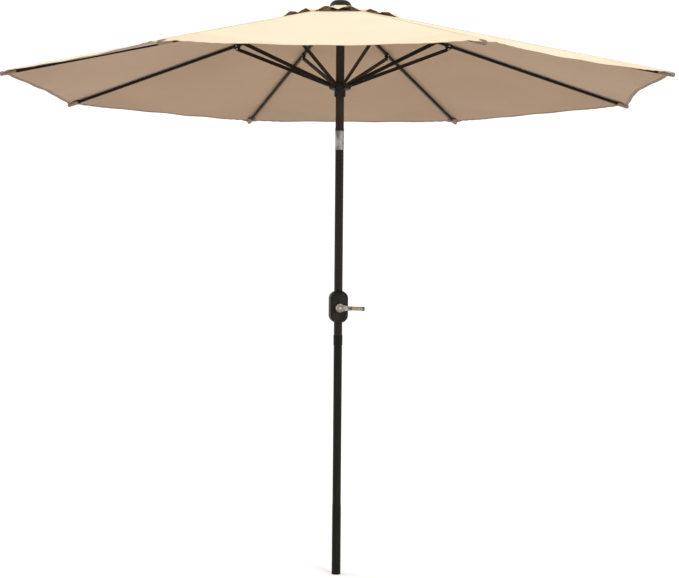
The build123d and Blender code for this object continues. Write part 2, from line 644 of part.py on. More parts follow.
def rivet(radius, head, z):
    """Rivet across the bracket, domed at both ends."""
    reach = RIB_W / 2 + 0.1 + BRACKET_WALL
    body = rod_y(radius, -reach, reach, JOINT_RUN, z)
    for low in (-reach - RIVET_HEAD_H, reach):
        cap = rod_y(head, low, low + RIVET_HEAD_H, JOINT_RUN, z)
        edge = cap.edges().sort_by(Axis.Y)
        body += fillet(edge[:1] if low < 0 else edge[-1:], 1.0)
    return body


def tip_cap():
    """Plastic cap on the rib's end, which the canopy's corner pocket pulls over."""
    low = RIB_LENGTH - TIP_CAP_BACK
    high = RIB_LENGTH + TIP_CAP_NOSE
    half_w = TIP_CAP_HALF_W
    half_h = TIP_CAP_HALF_H
    cap = block((low, high), (-half_w, half_w), (-half_h, half_h))
    cap = fillet(cap.edges().group_by(Axis.X)[-1], 2.5)
    return cap - block((low - 1, RIB_LENGTH), (-RIB_W / 2, RIB_W / 2), (-RIB_H / 2, RIB_H / 2))


def strut():
    """Channel-section strut, open below, with round solid eyes at both ends."""
    body = block((0, STRUT_LENGTH), (-STRUT_W / 2, STRUT_W / 2), (-STRUT_H / 2, STRUT_H / 2))
    for x in (0, STRUT_LENGTH):
        body += rod_y(STRUT_H / 2, -STRUT_W / 2, STRUT_W / 2, x)
    body = fillet(body.edges().filter_by(Axis.X), STRUT_CORNER)
    half_w = STRUT_W / 2 - STRUT_WALL
    run = (STRUT_SOLID, STRUT_LENGTH - STRUT_SOLID)
    body -= block(run, (-half_w, half_w), (-STRUT_H, STRUT_H / 2 - STRUT_WALL))
    body -= rod_y(JOINT_PIN_R + PIN_GAP, -10, 10)
    return body - rod_y(EYE_R, -10, 10, STRUT_LENGTH)


def half_gore(azimuth, side, inner_r, outer_r, bow, lift):
    """Flat slab from a rib's line to the middle of the panel beside it."""
    half = radians(HALF_STEP)
    middle = radians(azimuth + side * HALF_STEP)
    rib_dir = Vector(cos(radians(azimuth)), sin(radians(azimuth)), 0)
    mid_dir = Vector(cos(middle), sin(middle), 0)
    back = Vector(sin(middle), -cos(middle), 0) * (side * GORE_GAP)

    def height(radius):
        return CROWN_Z - (radius - PIVOT_R) * tan(radians(RIB_DROP)) + lift

    def on_rib(radius):
        return rib_dir * radius + Vector(0, 0, height(radius))

    def on_middle(radius):
        return mid_dir * radius + back + Vector(0, 0, height(radius / cos(half)))

    corners = [on_rib(inner_r), on_rib(outer_r)]
    corners += [on_middle(outer_r * cos(half) - bow), on_middle(inner_r * cos(half))]
    return extrude(Face(Wire.make_polygon(corners)), FABRIC, dir=(0, 0, 1))


def canopy_gore(k):
    """Stand-in for the cloth on rib k: a half panel each side, and the vent cap's the same."""
    a = rib_azimuth(k)
    main = [half_gore(a, s, VENT_R, RIM_R, RIM_BOW, FABRIC_LIFT) for s in (-1, 1)]
    cap = [half_gore(a, s, CAP_START_R, CAP_RIM_R, CAP_BOW, CAP_LIFT) for s in (-1, 1)]
    return main + cap


# ---- Nodes --------------------------------------------------------------------------------
keep("foot_sleeve", foot_sleeve())
keep("lower_pole", lower_pole())
keep("pole_coupler", pole_coupler())
keep("middle_pole", middle_pole())
keep("upper_pole", upper_pole())
keep("housing_front", housing_half(True))
keep("housing_back", housing_half(False))
keep("housing_screws", *[housing_screw(x, z) for x, z in screw_places()])
keep("axle_bushes", axle_bush(1), axle_bush(-1))
keep("cord_spool", cord_spool())
keep("brake_spring", brake_spring())
keep("crank_arm", crank_arm())
keep("crank_fasteners", *crank_fasteners())
keep("grip_spindle", grip_spindle())
keep("grip_sleeve", grip_sleeve())
keep("tilt_lower_knuckle", tilt_lower_knuckle())
keep("tilt_upper_knuckle", tilt_upper_knuckle())
keep("tilt_upper_ring", tilt_upper_ring())
keep("tilt_pin", tilt_pin())
keep("tilt_button", tilt_button())
keep("tilt_spring", tilt_spring())
keep("crown", crown())
keep("crown_pins", *crown_pins())
keep("crown_pulley", crown_pulley())
keep("runner", runner())
keep("runner_ring", runner_ring())
keep("finial", finial())
keep("canopy_centre", tube(FINIAL_R - 0.5, STUD_R + 0.2, CROWN_TOP, FINIAL_LOW - 0.2))

one_rib = rib()
one_strut = strut()
one_set = [rib_bracket(), rivet(JOINT_PIN_R, JOINT_HEAD_R, -JOINT_DROP)]
one_set += [rivet(RIVET_R, RIVET_HEAD_R, 0), tip_cap()]
for k in range(1, RIB_COUNT + 1):
    place = rib_frame(k)
    keep(f"rib_{k}", place * one_rib)
    keep(f"rib_fittings_{k}", *[place * piece for piece in one_set])
    keep(f"strut_{k}", strut_frame(k) * one_strut)
    keep(f"canopy_gore_{k}", *canopy_gore(k))

os.makedirs("parts", exist_ok=True)
for name, shape in nodes.items():
    export_step(shape, f"parts/{name}.step")

print("nodes", len(nodes), "solids", sum(len(shape.solids()) for shape in nodes.values()))
print("strut length", STRUT_LENGTH, "rise", STRUT_RISE, "closed", SHUT_RISE)
print("fold", FOLD, "strut turn", STRUT_TURN, "runner travel", RUNNER_TRAVEL)
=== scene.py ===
"""Looks of an octagonal market umbrella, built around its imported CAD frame.

The frame gives every rigid part its place.  This script adds the cloth (panels, vent cap,
hems, seams, stitching, corner pockets) and gives every part a procedural finish.
"""
from __future__ import annotations

import json
import logging
import math
from dataclasses import dataclass, field
from enum import Enum
from typing import Callable, Iterable, Sequence, Union

import bmesh
import bpy
import numpy as np
from mathutils import Matrix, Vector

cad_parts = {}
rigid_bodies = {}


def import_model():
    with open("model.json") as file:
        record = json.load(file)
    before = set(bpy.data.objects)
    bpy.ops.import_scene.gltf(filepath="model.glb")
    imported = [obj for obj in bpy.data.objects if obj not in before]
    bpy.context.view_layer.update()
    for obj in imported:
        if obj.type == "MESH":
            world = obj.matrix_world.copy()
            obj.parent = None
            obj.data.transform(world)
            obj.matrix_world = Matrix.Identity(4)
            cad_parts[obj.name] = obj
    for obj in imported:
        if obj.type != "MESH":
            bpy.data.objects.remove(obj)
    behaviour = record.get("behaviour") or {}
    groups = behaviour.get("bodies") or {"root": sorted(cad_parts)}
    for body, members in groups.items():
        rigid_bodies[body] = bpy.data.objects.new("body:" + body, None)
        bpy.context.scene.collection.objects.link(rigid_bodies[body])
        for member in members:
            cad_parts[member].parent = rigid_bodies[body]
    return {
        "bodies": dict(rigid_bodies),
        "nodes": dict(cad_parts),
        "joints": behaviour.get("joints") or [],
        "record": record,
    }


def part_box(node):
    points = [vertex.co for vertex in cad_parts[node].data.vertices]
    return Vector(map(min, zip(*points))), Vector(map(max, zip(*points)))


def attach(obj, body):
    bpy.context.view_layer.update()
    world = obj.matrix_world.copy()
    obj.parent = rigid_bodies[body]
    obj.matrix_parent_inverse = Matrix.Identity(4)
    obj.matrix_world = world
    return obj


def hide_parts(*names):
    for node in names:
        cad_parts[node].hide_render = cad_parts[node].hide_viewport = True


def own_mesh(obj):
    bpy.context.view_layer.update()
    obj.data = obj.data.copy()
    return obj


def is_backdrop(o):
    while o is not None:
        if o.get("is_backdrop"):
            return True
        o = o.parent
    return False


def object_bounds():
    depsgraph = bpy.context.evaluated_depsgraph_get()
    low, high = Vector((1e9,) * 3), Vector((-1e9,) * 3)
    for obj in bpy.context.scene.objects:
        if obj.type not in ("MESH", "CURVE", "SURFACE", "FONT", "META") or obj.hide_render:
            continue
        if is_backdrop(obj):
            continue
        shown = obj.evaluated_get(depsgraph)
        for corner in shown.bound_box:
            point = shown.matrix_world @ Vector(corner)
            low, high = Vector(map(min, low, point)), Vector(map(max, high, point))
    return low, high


log = logging.getLogger("umbrella")
Colour = tuple[float, float, float]
Number = Union[int, float]
ON_RIB = 1e-6


# ---- Shader expressions ---------------------------------------------------------------------
class Signal:
    """One output of a shader node, ready for Python arithmetic."""

    def __init__(self, graph: "Graph", socket: bpy.types.NodeSocket) -> None:
        """Wrap an output socket of a graph."""
        self.graph = graph
        self.socket = socket

    def _math(self, operation: str, *values: Union["Signal", Number]) -> "Signal":
        """Add one Math node.

        Args:
            operation: the node's operation.
            values: its inputs, in order.

        Returns:
            The node's output.
        """
        inputs = dict(enumerate(values))
        return self.graph.node("ShaderNodeMath", {"operation": operation}, inputs)

    def __add__(self, other: Union["Signal", Number]) -> "Signal":
        """Sum."""
        return self._math("ADD", self, other)

    __radd__ = __add__

    def __sub__(self, other: Union["Signal", Number]) -> "Signal":
        """Difference."""
        return self._math("SUBTRACT", self, other)

    def __rsub__(self, other: Number) -> "Signal":
        """Difference from a number."""
        return self._math("SUBTRACT", other, self)

    def __mul__(self, other: Union["Signal", Number]) -> "Signal":
        """Product."""
        return self._math("MULTIPLY", self, other)

    __rmul__ = __mul__

    def __truediv__(self, other: Union["Signal", Number]) -> "Signal":
        """Quotient."""
        return self._math("DIVIDE", self, other)

    def __pow__(self, other: Number) -> "Signal":
        """Power."""
        return self._math("POWER", self, other)

    def sine(self) -> "Signal":
        """Sine, in radians."""
        return self._math("SINE", self)

    def size(self) -> "Signal":
        """Absolute value."""
        return self._math("ABSOLUTE", self)

    def step(self, low: float, high: float) -> "Signal":
        """Rise smoothly from 0 at low to 1 at high (or fall, when low is above high).

        Args:
            low: where it starts.
            high: where it ends.

        Returns:
            The share.
        """
        inputs = {"Value": self, "From Min": low, "From Max": high}
        settings = {"interpolation_type": "SMOOTHSTEP"}
        return self.graph.node("ShaderNodeMapRange", settings, inputs)


class Graph:
    """The node tree of one material."""

    def __init__(self, name: str) -> None:
        """Start an empty material with its output node.

        Args:
            name: the material's name.
        """
        self.material = bpy.data.materials.new(name)
        self.material.use_nodes = True
        self.tree = self.material.node_tree
        self.tree.nodes.clear()
        self.output = self.tree.nodes.new("ShaderNodeOutputMaterial")

    def node(self, kind: str, settings: dict, inputs: dict, out: Union[int, str] = 0) -> Signal:
        """Add a node.

        Args:
            kind: the node's type.
            settings: its properties, set before its sockets.
            inputs: values or signals, by socket name or number.
            out: the output to return.

        Returns:
            The chosen output.
        """
        made = self.tree.nodes.new(kind)
        for key, value in settings.items():
            setattr(made, key, value)
        for key, value in inputs.items():
            if isinstance(value, Signal):
                self.tree.links.new(value.socket, made.inputs[key])
            else:
                made.inputs[key].default_value = value
        return Signal(self, made.outputs[out])

    def place(self) -> Signal:
        """Object coordinates, which are the row frame's metres."""
        return self.node("ShaderNodeTexCoord", {}, {}, "Object")

    def weave_map(self) -> Signal:
        """The piece's own UV map: metres across and along the cloth."""
        return self.node("ShaderNodeUVMap", {"uv_map": "weave"}, {})

    def split(self, vector: Signal) -> tuple[Signal, Signal, Signal]:
        """The three parts of a vector.

        Args:
            vector: the vector.

        Returns:
            X, Y and Z.
        """
        first = self.node("ShaderNodeSeparateXYZ", {}, {0: vector})
        outputs = first.socket.node.outputs
        return first, Signal(self, outputs[1]), Signal(self, outputs[2])

    def stretch(self, vector: Signal, scale: Sequence[float]) -> Signal:
        """A vector with each part multiplied by its own factor."""
        return self.node("ShaderNodeMapping", {}, {"Vector": vector, "Scale": tuple(scale)})

    def noise(self, vector: Signal, scale: float, detail: float = 2.0) -> Signal:
        """Fractal noise from 0 to 1."""
        inputs = {"Vector": vector, "Scale": scale, "Detail": detail}
        return self.node("ShaderNodeTexNoise", {}, inputs)

    def mix(self, share: Union[Signal, Number], low: Union[Signal, Colour],
            high: Union[Signal, Colour]) -> Signal:
        """Mix two colours by a share from 0 to 1.

        Args:
            share: 0 for the low colour, 1 for the high one.
            low: colour at 0.
            high: colour at 1.

        Returns:
            The mixed colour.
        """
        low = low if isinstance(low, Signal) else (*low, 1.0)
        high = high if isinstance(high, Signal) else (*high, 1.0)
        settings = {"data_type": "RGBA", "clamp_factor": True}
        return self.node("ShaderNodeMix", settings, {0: share, 6: low, 7: high}, 2)

    def bump(self, height: Signal, depth: float, strength: float = 1.0) -> Signal:
        """Turn a height from 0 to 1 into a normal; depth is in metres."""
        inputs = {"Height": height, "Distance": depth, "Strength": strength}
        return self.node("ShaderNodeBump", {}, inputs)

    def surface(self, inputs: dict) -> Signal:
        """Add the Principled shader."""
        return self.node("ShaderNodeBsdfPrincipled", {}, inputs)

    def close(self, shader: Signal) -> bpy.types.Material:
        """Send a shader to the output and return the material."""
        self.tree.links.new(shader.socket, self.output.inputs["Surface"])
        return self.material


# ---- Finishes -------------------------------------------------------------------------------
def tint(colour: Colour, factor: float) -> Colour:
    """A colour made lighter or darker."""
    return tuple(min(1.0, part * factor) for part in colour)


@dataclass(frozen=True)
class PowderCoat:
    """Baked paint on tube: fine orange peel, slow tone changes and rubbed streaks."""

    name: str
    colour: Colour
    rubbed: Colour
    roughness: float = 0.42
    gloss: float = 0.22
    peel_scale: float = 650.0
    streaks: float = 0.35

    def build(self) -> bpy.types.Material:
        """Make the material.

        Returns:
            The material.
        """
        g = Graph(self.name)
        place = g.place()
        tone = g.noise(place, 6.0, 3.0)
        speck = g.noise(place, 260.0, 2.0)
        streak = g.noise(g.stretch(place, (140.0, 140.0, 5.0)), 1.0, 4.0).step(0.58, 0.78)
        base = g.mix(tone.step(0.3, 0.7), tint(self.colour, 0.82), tint(self.colour, 1.18))
        base = g.mix(speck.step(0.55, 0.8) * 0.35, base, tint(self.colour, 1.6))
        base = g.mix(streak * self.streaks, base, self.rubbed)
        peel = g.noise(place, self.peel_scale, 2.0)
        rough = tone * 0.10 + streak * 0.12 + (self.roughness - 0.06)
        return g.close(g.surface({
            "Base Color": base, "Roughness": rough, "Specular IOR Level": self.gloss,
            "Normal": g.bump(peel, 0.00025, 0.35)}))


@dataclass(frozen=True)
class Moulded:
    """Injection-moulded plastic with a spark-eroded grain and faint flow marks."""

    name: str
    colour: Colour
    sheen_colour: Colour
    roughness: float = 0.5
    gloss: float = 0.22
    grain_scale: float = 900.0
    grain_depth: float = 0.00018

    def build(self) -> bpy.types.Material:
        """Make the material.

        Returns:
            The material.
        """
        g = Graph(self.name)
        place = g.place()
        flow = g.noise(place, 22.0, 3.0)
        scuff = g.noise(g.stretch(place, (60.0, 60.0, 240.0)), 1.0, 3.0).step(0.62, 0.8)
        base = g.mix(flow.step(0.35, 0.7), self.colour, self.sheen_colour)
        base = g.mix(scuff * 0.25, base, tint(self.sheen_colour, 1.9))
        grain = g.noise(place, self.grain_scale, 3.0)
        rough = flow * 0.14 + scuff * 0.1 + (self.roughness - 0.07)
        return g.close(g.surface({
            "Base Color": base, "Roughness": rough, "Specular IOR Level": self.gloss,
            "Normal": g.bump(grain, self.grain_depth, 0.5)}))


@dataclass(frozen=True)
class PlatedSteel:
    """Zinc-plated steel: fine drawn lines and dull patches."""

    name: str
    colour: Colour = (0.62, 0.60, 0.56)
    roughness: float = 0.28

    def build(self) -> bpy.types.Material:
        """Make the material.

        Returns:
            The material.
        """
        g = Graph(self.name)
        place = g.place()
        dull = g.noise(place, 90.0, 3.0)
        lines = g.noise(g.stretch(place, (300.0, 300.0, 2600.0)), 1.0, 2.0)
        base = g.mix(dull.step(0.35, 0.7), tint(self.colour, 0.72), self.colour)
        return g.close(g.surface({
            "Base Color": base, "Metallic": 1.0,
            "Roughness": dull * 0.22 + (self.roughness - 0.08),
            "Normal": g.bump(lines, 0.00012, 0.4)}))


@dataclass(frozen=True)
class JointFitting:
    """Painted bracket whose rivet heads, which stand proud of its two walls, are bare steel.

    The mask is the distance from the rib's upright plane.
    """

    name: str
    azimuth: float
    wall: float = 0.0062
    paint: Colour = (0.014, 0.010, 0.007)
    steel: Colour = (0.62, 0.58, 0.52)

    def build(self) -> bpy.types.Material:
        """Make the material.

        Returns:
            The material.
        """
        g = Graph(self.name)
        place = g.place()
        x, y, _ = g.split(place)
        off = (y * math.cos(self.azimuth) - x * math.sin(self.azimuth)).size()
        head = off.step(self.wall - 0.0001, self.wall + 0.0001)
        worn = g.noise(place, 180.0, 3.0)
        paint = g.mix(worn.step(0.6, 0.8), self.paint, tint(self.paint, 2.6))
        steel = g.mix(worn.step(0.35, 0.65), tint(self.steel, 0.6), self.steel)
        return g.close(g.surface({
            "Base Color": g.mix(head, paint, steel), "Metallic": head,
            "Roughness": worn * 0.2 + 0.38 - head * 0.12, "Specular IOR Level": 0.25,
            "Normal": g.bump(worn, 0.0002, 0.4)}))


@dataclass(frozen=True)
class CrinkledMetal:
    """Bright casting under a thin wrapped film: long soft creases in the bump, with their
    reflections and glints painted into the colour.
    """

    name: str
    # Light and dark colours of the painted reflections on the creases.
    light: Colour = (0.41, 0.40, 0.385)
    dark: Colour = (0.085, 0.082, 0.077)

    def build(self) -> bpy.types.Material:
        """Make the material.

        Returns:
            The material.
        """
        g = Graph(self.name)
        place = g.place()
        crease_and_painted_reflection = g.noise(g.stretch(place, (62.0, 62.0, 17.0)), 1.0, 3.5)
        fine = g.noise(g.stretch(place, (210.0, 210.0, 60.0)), 1.0, 3.0)
        painted_glint = g.noise(g.stretch(place, (120.0, 120.0, 24.0)), 1.0, 2.0).step(0.60, 0.72)
        # Painted reflection and shade: lighter on the creases' crests, darker in their troughs.
        base = g.mix(crease_and_painted_reflection.step(0.34, 0.66), self.dark, self.light)
        # Painted glints: scattered near-white spots in the base colour.
        base = g.mix(painted_glint * 0.6, base, (0.80, 0.79, 0.77))
        height = crease_and_painted_reflection * 0.8 + fine * 0.2
        return g.close(g.surface({
            "Base Color": base, "Metallic": 0.6,
            "Roughness": fine * 0.25 + 0.24,
            "Normal": g.bump(height, 0.004, 0.75)}))


@dataclass(frozen=True)
class CastPaint:
    """Metallic paint on a sand-smooth casting, rubbed brighter in small scattered patches."""

    name: str
    colour: Colour
    dark: Colour
    metallic: float = 0.35
    roughness: float = 0.42

    def build(self) -> bpy.types.Material:
        """Make the material.

        Returns:
            The material.
        """
        g = Graph(self.name)
        place = g.place()
        cast = g.noise(place, 420.0, 3.0)
        cloud = g.noise(place, 70.0, 3.0)
        base = g.mix(cloud.step(0.3, 0.62), self.dark, self.colour)
        base = g.mix(cast.step(0.62, 0.8) * 0.4, base, tint(self.colour, 1.35))
        return g.close(g.surface({
            "Base Color": base, "Metallic": self.metallic,
            "Roughness": cloud * 0.16 + (self.roughness - 0.08),
            "Normal": g.bump(cast, 0.0004, 0.4)}))


@dataclass(frozen=True)
class Cloth:
    """Plain-woven polyester.

    Threads are a product of two sine waves on the cloth's own UV metres; the tone drifts slowly
    over the panel, slubs run along single threads, and the rim and seams are a little soiled.
    """

    name: str
    colour: Colour
    soil: Colour
    thread: float = 0.00095
    glow: float = 0.16
    glow_colour: Colour = (0.78, 0.52, 0.33)
    rim_from: float = 1.16

    def build(self) -> bpy.types.Material:
        """Make the material.

        Returns:
            The material.
        """
        g = Graph(self.name)
        uv = g.weave_map()
        u, v, _ = g.split(uv)
        place = g.place()
        turn = math.pi / self.thread
        weave = (u * turn).sine() * (v * turn).sine() * 0.5 + 0.5
        slub_u = g.noise(g.stretch(uv, (900.0, 14.0, 1.0)), 1.0, 2.0)
        slub_v = g.noise(g.stretch(uv, (14.0, 900.0, 1.0)), 1.0, 2.0)
        drift = g.noise(place, 2.4, 3.0)
        mottle = g.noise(place, 26.0, 4.0)
        base = g.mix(drift.step(0.3, 0.7), tint(self.colour, 0.955), tint(self.colour, 1.03))
        base = g.mix((slub_u + slub_v) * 0.5 * 0.22, base, tint(self.colour, 0.86))
        base = g.mix(mottle.step(0.52, 0.82) * 0.16, base, self.soil)
        rim = v.step(self.rim_from, self.rim_from + 0.09) * 0.16
        seam = u.size().step(0.016, 0.0) * 0.16
        base = g.mix(rim + seam * mottle, base, self.soil)
        height = weave * 0.6 + (slub_u + slub_v) * 0.4
        normal = g.bump(height, 0.00022, 0.55)
        cloth = g.surface({
            "Base Color": base, "Roughness": mottle * 0.12 + 0.78,
            "Sheen Weight": 0.12, "Sheen Roughness": 0.45,
            "Specular IOR Level": 0.25, "Normal": normal})
        through = g.node("ShaderNodeBsdfTranslucent", {}, {
            "Color": (*self.glow_colour, 1.0), "Normal": normal})
        return g.close(g.node("ShaderNodeMixShader", {}, {0: self.glow, 1: cloth, 2: through}))


@dataclass(frozen=True)
class Thread:
    """Twisted sewing thread."""

    name: str
    colour: Colour

    def build(self) -> bpy.types.Material:
        """Make the material.

        Returns:
            The material.
        """
        g = Graph(self.name)
        place = g.place()
        twist = g.noise(place, 1500.0, 1.0)
        base = g.mix(twist, tint(self.colour, 0.7), self.colour)
        return g.close(g.surface({
            "Base Color": base, "Roughness": twist * 0.2 + 0.55,
            "Normal": g.bump(twist, 0.0002, 0.5)}))


@dataclass(frozen=True)
class Backdrop:
    """Matt white studio paper."""

    name: str
    colour: Colour = (0.92, 0.92, 0.92)

    def build(self) -> bpy.types.Material:
        """Make the material.

        Returns:
            The material.
        """
        g = Graph(self.name)
        fibre = g.noise(g.place(), 3.0, 2.0)
        base = g.mix(fibre, tint(self.colour, 0.99), self.colour)
        return g.close(g.surface({"Base Color": base, "Roughness": 0.9,
                                  "Specular IOR Level": 0.1}))


# ---- Mesh helpers ---------------------------------------------------------------------------
def smoothstep(x: np.ndarray, low: float, high: float) -> np.ndarray:
    """Rise from 0 at low to 1 at high as 3t^2 - 2t^3."""
    t = np.clip((x - low) / (high - low), 0.0, 1.0)
    return t * t * (3.0 - 2.0 * t)


def mesh_piece(name: str, points: np.ndarray, faces: Sequence) -> bpy.types.Object:
    """Put whole arrays into a smooth mesh object at the origin.

    Args:
        name: the piece's name.
        points: vertices, n by 3, in metres.
        faces: vertex numbers, as an array or as lists.

    Returns:
        The new object.
    """
    data = bpy.data.meshes.new(name)
    data.from_pydata(points.tolist(), [], np.asarray(faces).tolist()
                     if isinstance(faces, np.ndarray) else faces)
    data.polygons.foreach_set("use_smooth", np.ones(len(data.polygons), bool))
    data.update()
    made = bpy.data.objects.new(name, data)
    bpy.context.scene.collection.objects.link(made)
    return made


def lay_weave(made: bpy.types.Object, across: np.ndarray, along: np.ndarray) -> None:
    """Give a piece its weave UV map: the metres across and along the cloth of each vertex.

    Args:
        made: the piece.
        across: metres across the cloth, one for each vertex.
        along: metres along the cloth, one for each vertex.
    """
    layer = made.data.uv_layers.new(name="weave")
    corner = np.zeros(len(made.data.loops), np.int64)
    made.data.loops.foreach_get("vertex_index", corner)
    uv = np.stack([across.ravel(), along.ravel()], axis=-1)
    layer.data.foreach_set("uv", uv[corner].astype(np.float32).ravel())


def grid_faces(rows: int, columns: int, around: bool = False) -> np.ndarray:
    """Quads of a grid of vertices, row by row; around also joins the last column to the first.

    Args:
        rows: number of rows.
        columns: number of columns.
        around: whether the rows are closed rings.

    Returns:
        Vertex numbers, n by 4.
    """
    r, c = np.meshgrid(np.arange(rows - 1), np.arange(columns if around else columns - 1),
                       indexing="ij")
    n = (c + 1) % columns
    quads = np.stack([r * columns + c, r * columns + n, (r + 1) * columns + n,
                      (r + 1) * columns + c], axis=-1)
    return quads.reshape(-1, 4)


def tube_along(path: np.ndarray, side: np.ndarray, up: np.ndarray, profile: np.ndarray,
               capped: bool = True) -> tuple[np.ndarray, np.ndarray]:
    """Carry a closed profile along a path.

    Each vertex is path point + side x profile's first number + up x its second.

    Args:
        path: centre points, n by 3.
        side: unit vectors across, n by 3.
        up: unit vectors out of the surface, n by 3.
        profile: closed outline, m by 2, or n by m by 2 where it changes.
        capped: whether fans of triangles written as quads close both ends.

    Returns:
        Points and quads.
    """
    if profile.ndim == 2:
        profile = np.broadcast_to(profile, (len(path), *profile.shape))
    points = (path[:, None, :] + side[:, None, :] * profile[..., :1]
              + up[:, None, :] * profile[..., 1:])
    rows, columns = points.shape[:2]
    faces = grid_faces(rows, columns, around=True)
    points = points.reshape(-1, 3)
    if capped:
        ends = np.stack([points[:columns].mean(0), points[-columns:].mean(0)])
        ring = np.arange(columns)
        after = (ring + 1) % columns
        first = np.full(columns, len(points))
        base = (rows - 1) * columns
        start = np.stack([first, after, ring, ring], axis=-1)
        finish = np.stack([first + 1, base + ring, base + after, base + after], axis=-1)
        points = np.concatenate([points, ends])
        faces = np.concatenate([faces, start, finish])
    return points, faces


def drop_repeats(faces: np.ndarray) -> list[list[int]]:
    """Faces as lists, with a vertex that repeats in a quad left out."""
    return [list(dict.fromkeys(face)) for face in faces.tolist()]


def tidy_piece(made: bpy.types.Object) -> bpy.types.Object:
    """Turn every face of a closed piece outwards.

    Args:
        made: the piece.

    Returns:
        The same piece.
    """
    work = bmesh.new()
    work.from_mesh(made.data)
    bmesh.ops.recalc_face_normals(work, faces=work.faces)
    work.to_mesh(made.data)
    work.free()
    return made


def closed_piece(name: str, points: np.ndarray, faces: np.ndarray) -> bpy.types.Object:
    """A closed smooth piece with outward faces, from quads that may repeat a vertex."""
    return tidy_piece(mesh_piece(name, points, drop_repeats(faces)))


def stitch_cloud(name: str, centres: np.ndarray, along: np.ndarray, up: np.ndarray,
                 length: float = 0.0034, width: float = 0.0006,
                 height: float = 0.00055) -> bpy.types.Object:
    """Many sewing stitches, each a long eight-sided bead.

    The six corners of a bead are its centre plus or minus length, width and height halves along
    the seam, across it and out of the cloth.

    Args:
        name: the piece's name.
        centres: middle of each stitch, n by 3.
        along: unit vectors along the seam, n by 3.
        up: unit vectors out of the cloth, n by 3.
        length: bead length.
        width: bead width.
        height: bead height.

    Returns:
        The new object.
    """
    across = np.cross(up, along)
    reach = [along * length / 2, across * width / 2, up * height / 2]
    corners = [centres + sign * arm for arm in reach for sign in (1, -1)]
    points = np.stack(corners, axis=1).reshape(-1, 3)
    bead = np.array([[0, 2, 4], [2, 1, 4], [1, 3, 4], [3, 0, 4],
                     [2, 0, 5], [1, 2, 5], [3, 1, 5], [0, 3, 5]])
    faces = (bead[None] + 6 * np.arange(len(centres))[:, None, None]).reshape(-1, 3)
    return mesh_piece(name, points, faces)


# ---- Canopy ---------------------------------------------------------------------------------
@dataclass(frozen=True)
class Crimp:
    """Small waves in cloth that die away with distance from what gathers it."""

    height: float
    reach: float
    pitch: float

    def at(self, distance: np.ndarray, run: np.ndarray) -> np.ndarray:
        """Height times exp(-distance / reach) times the sine of the run over the pitch."""
        return self.height * np.exp(-distance / self.reach) * np.sin(run * math.tau / self.pitch)


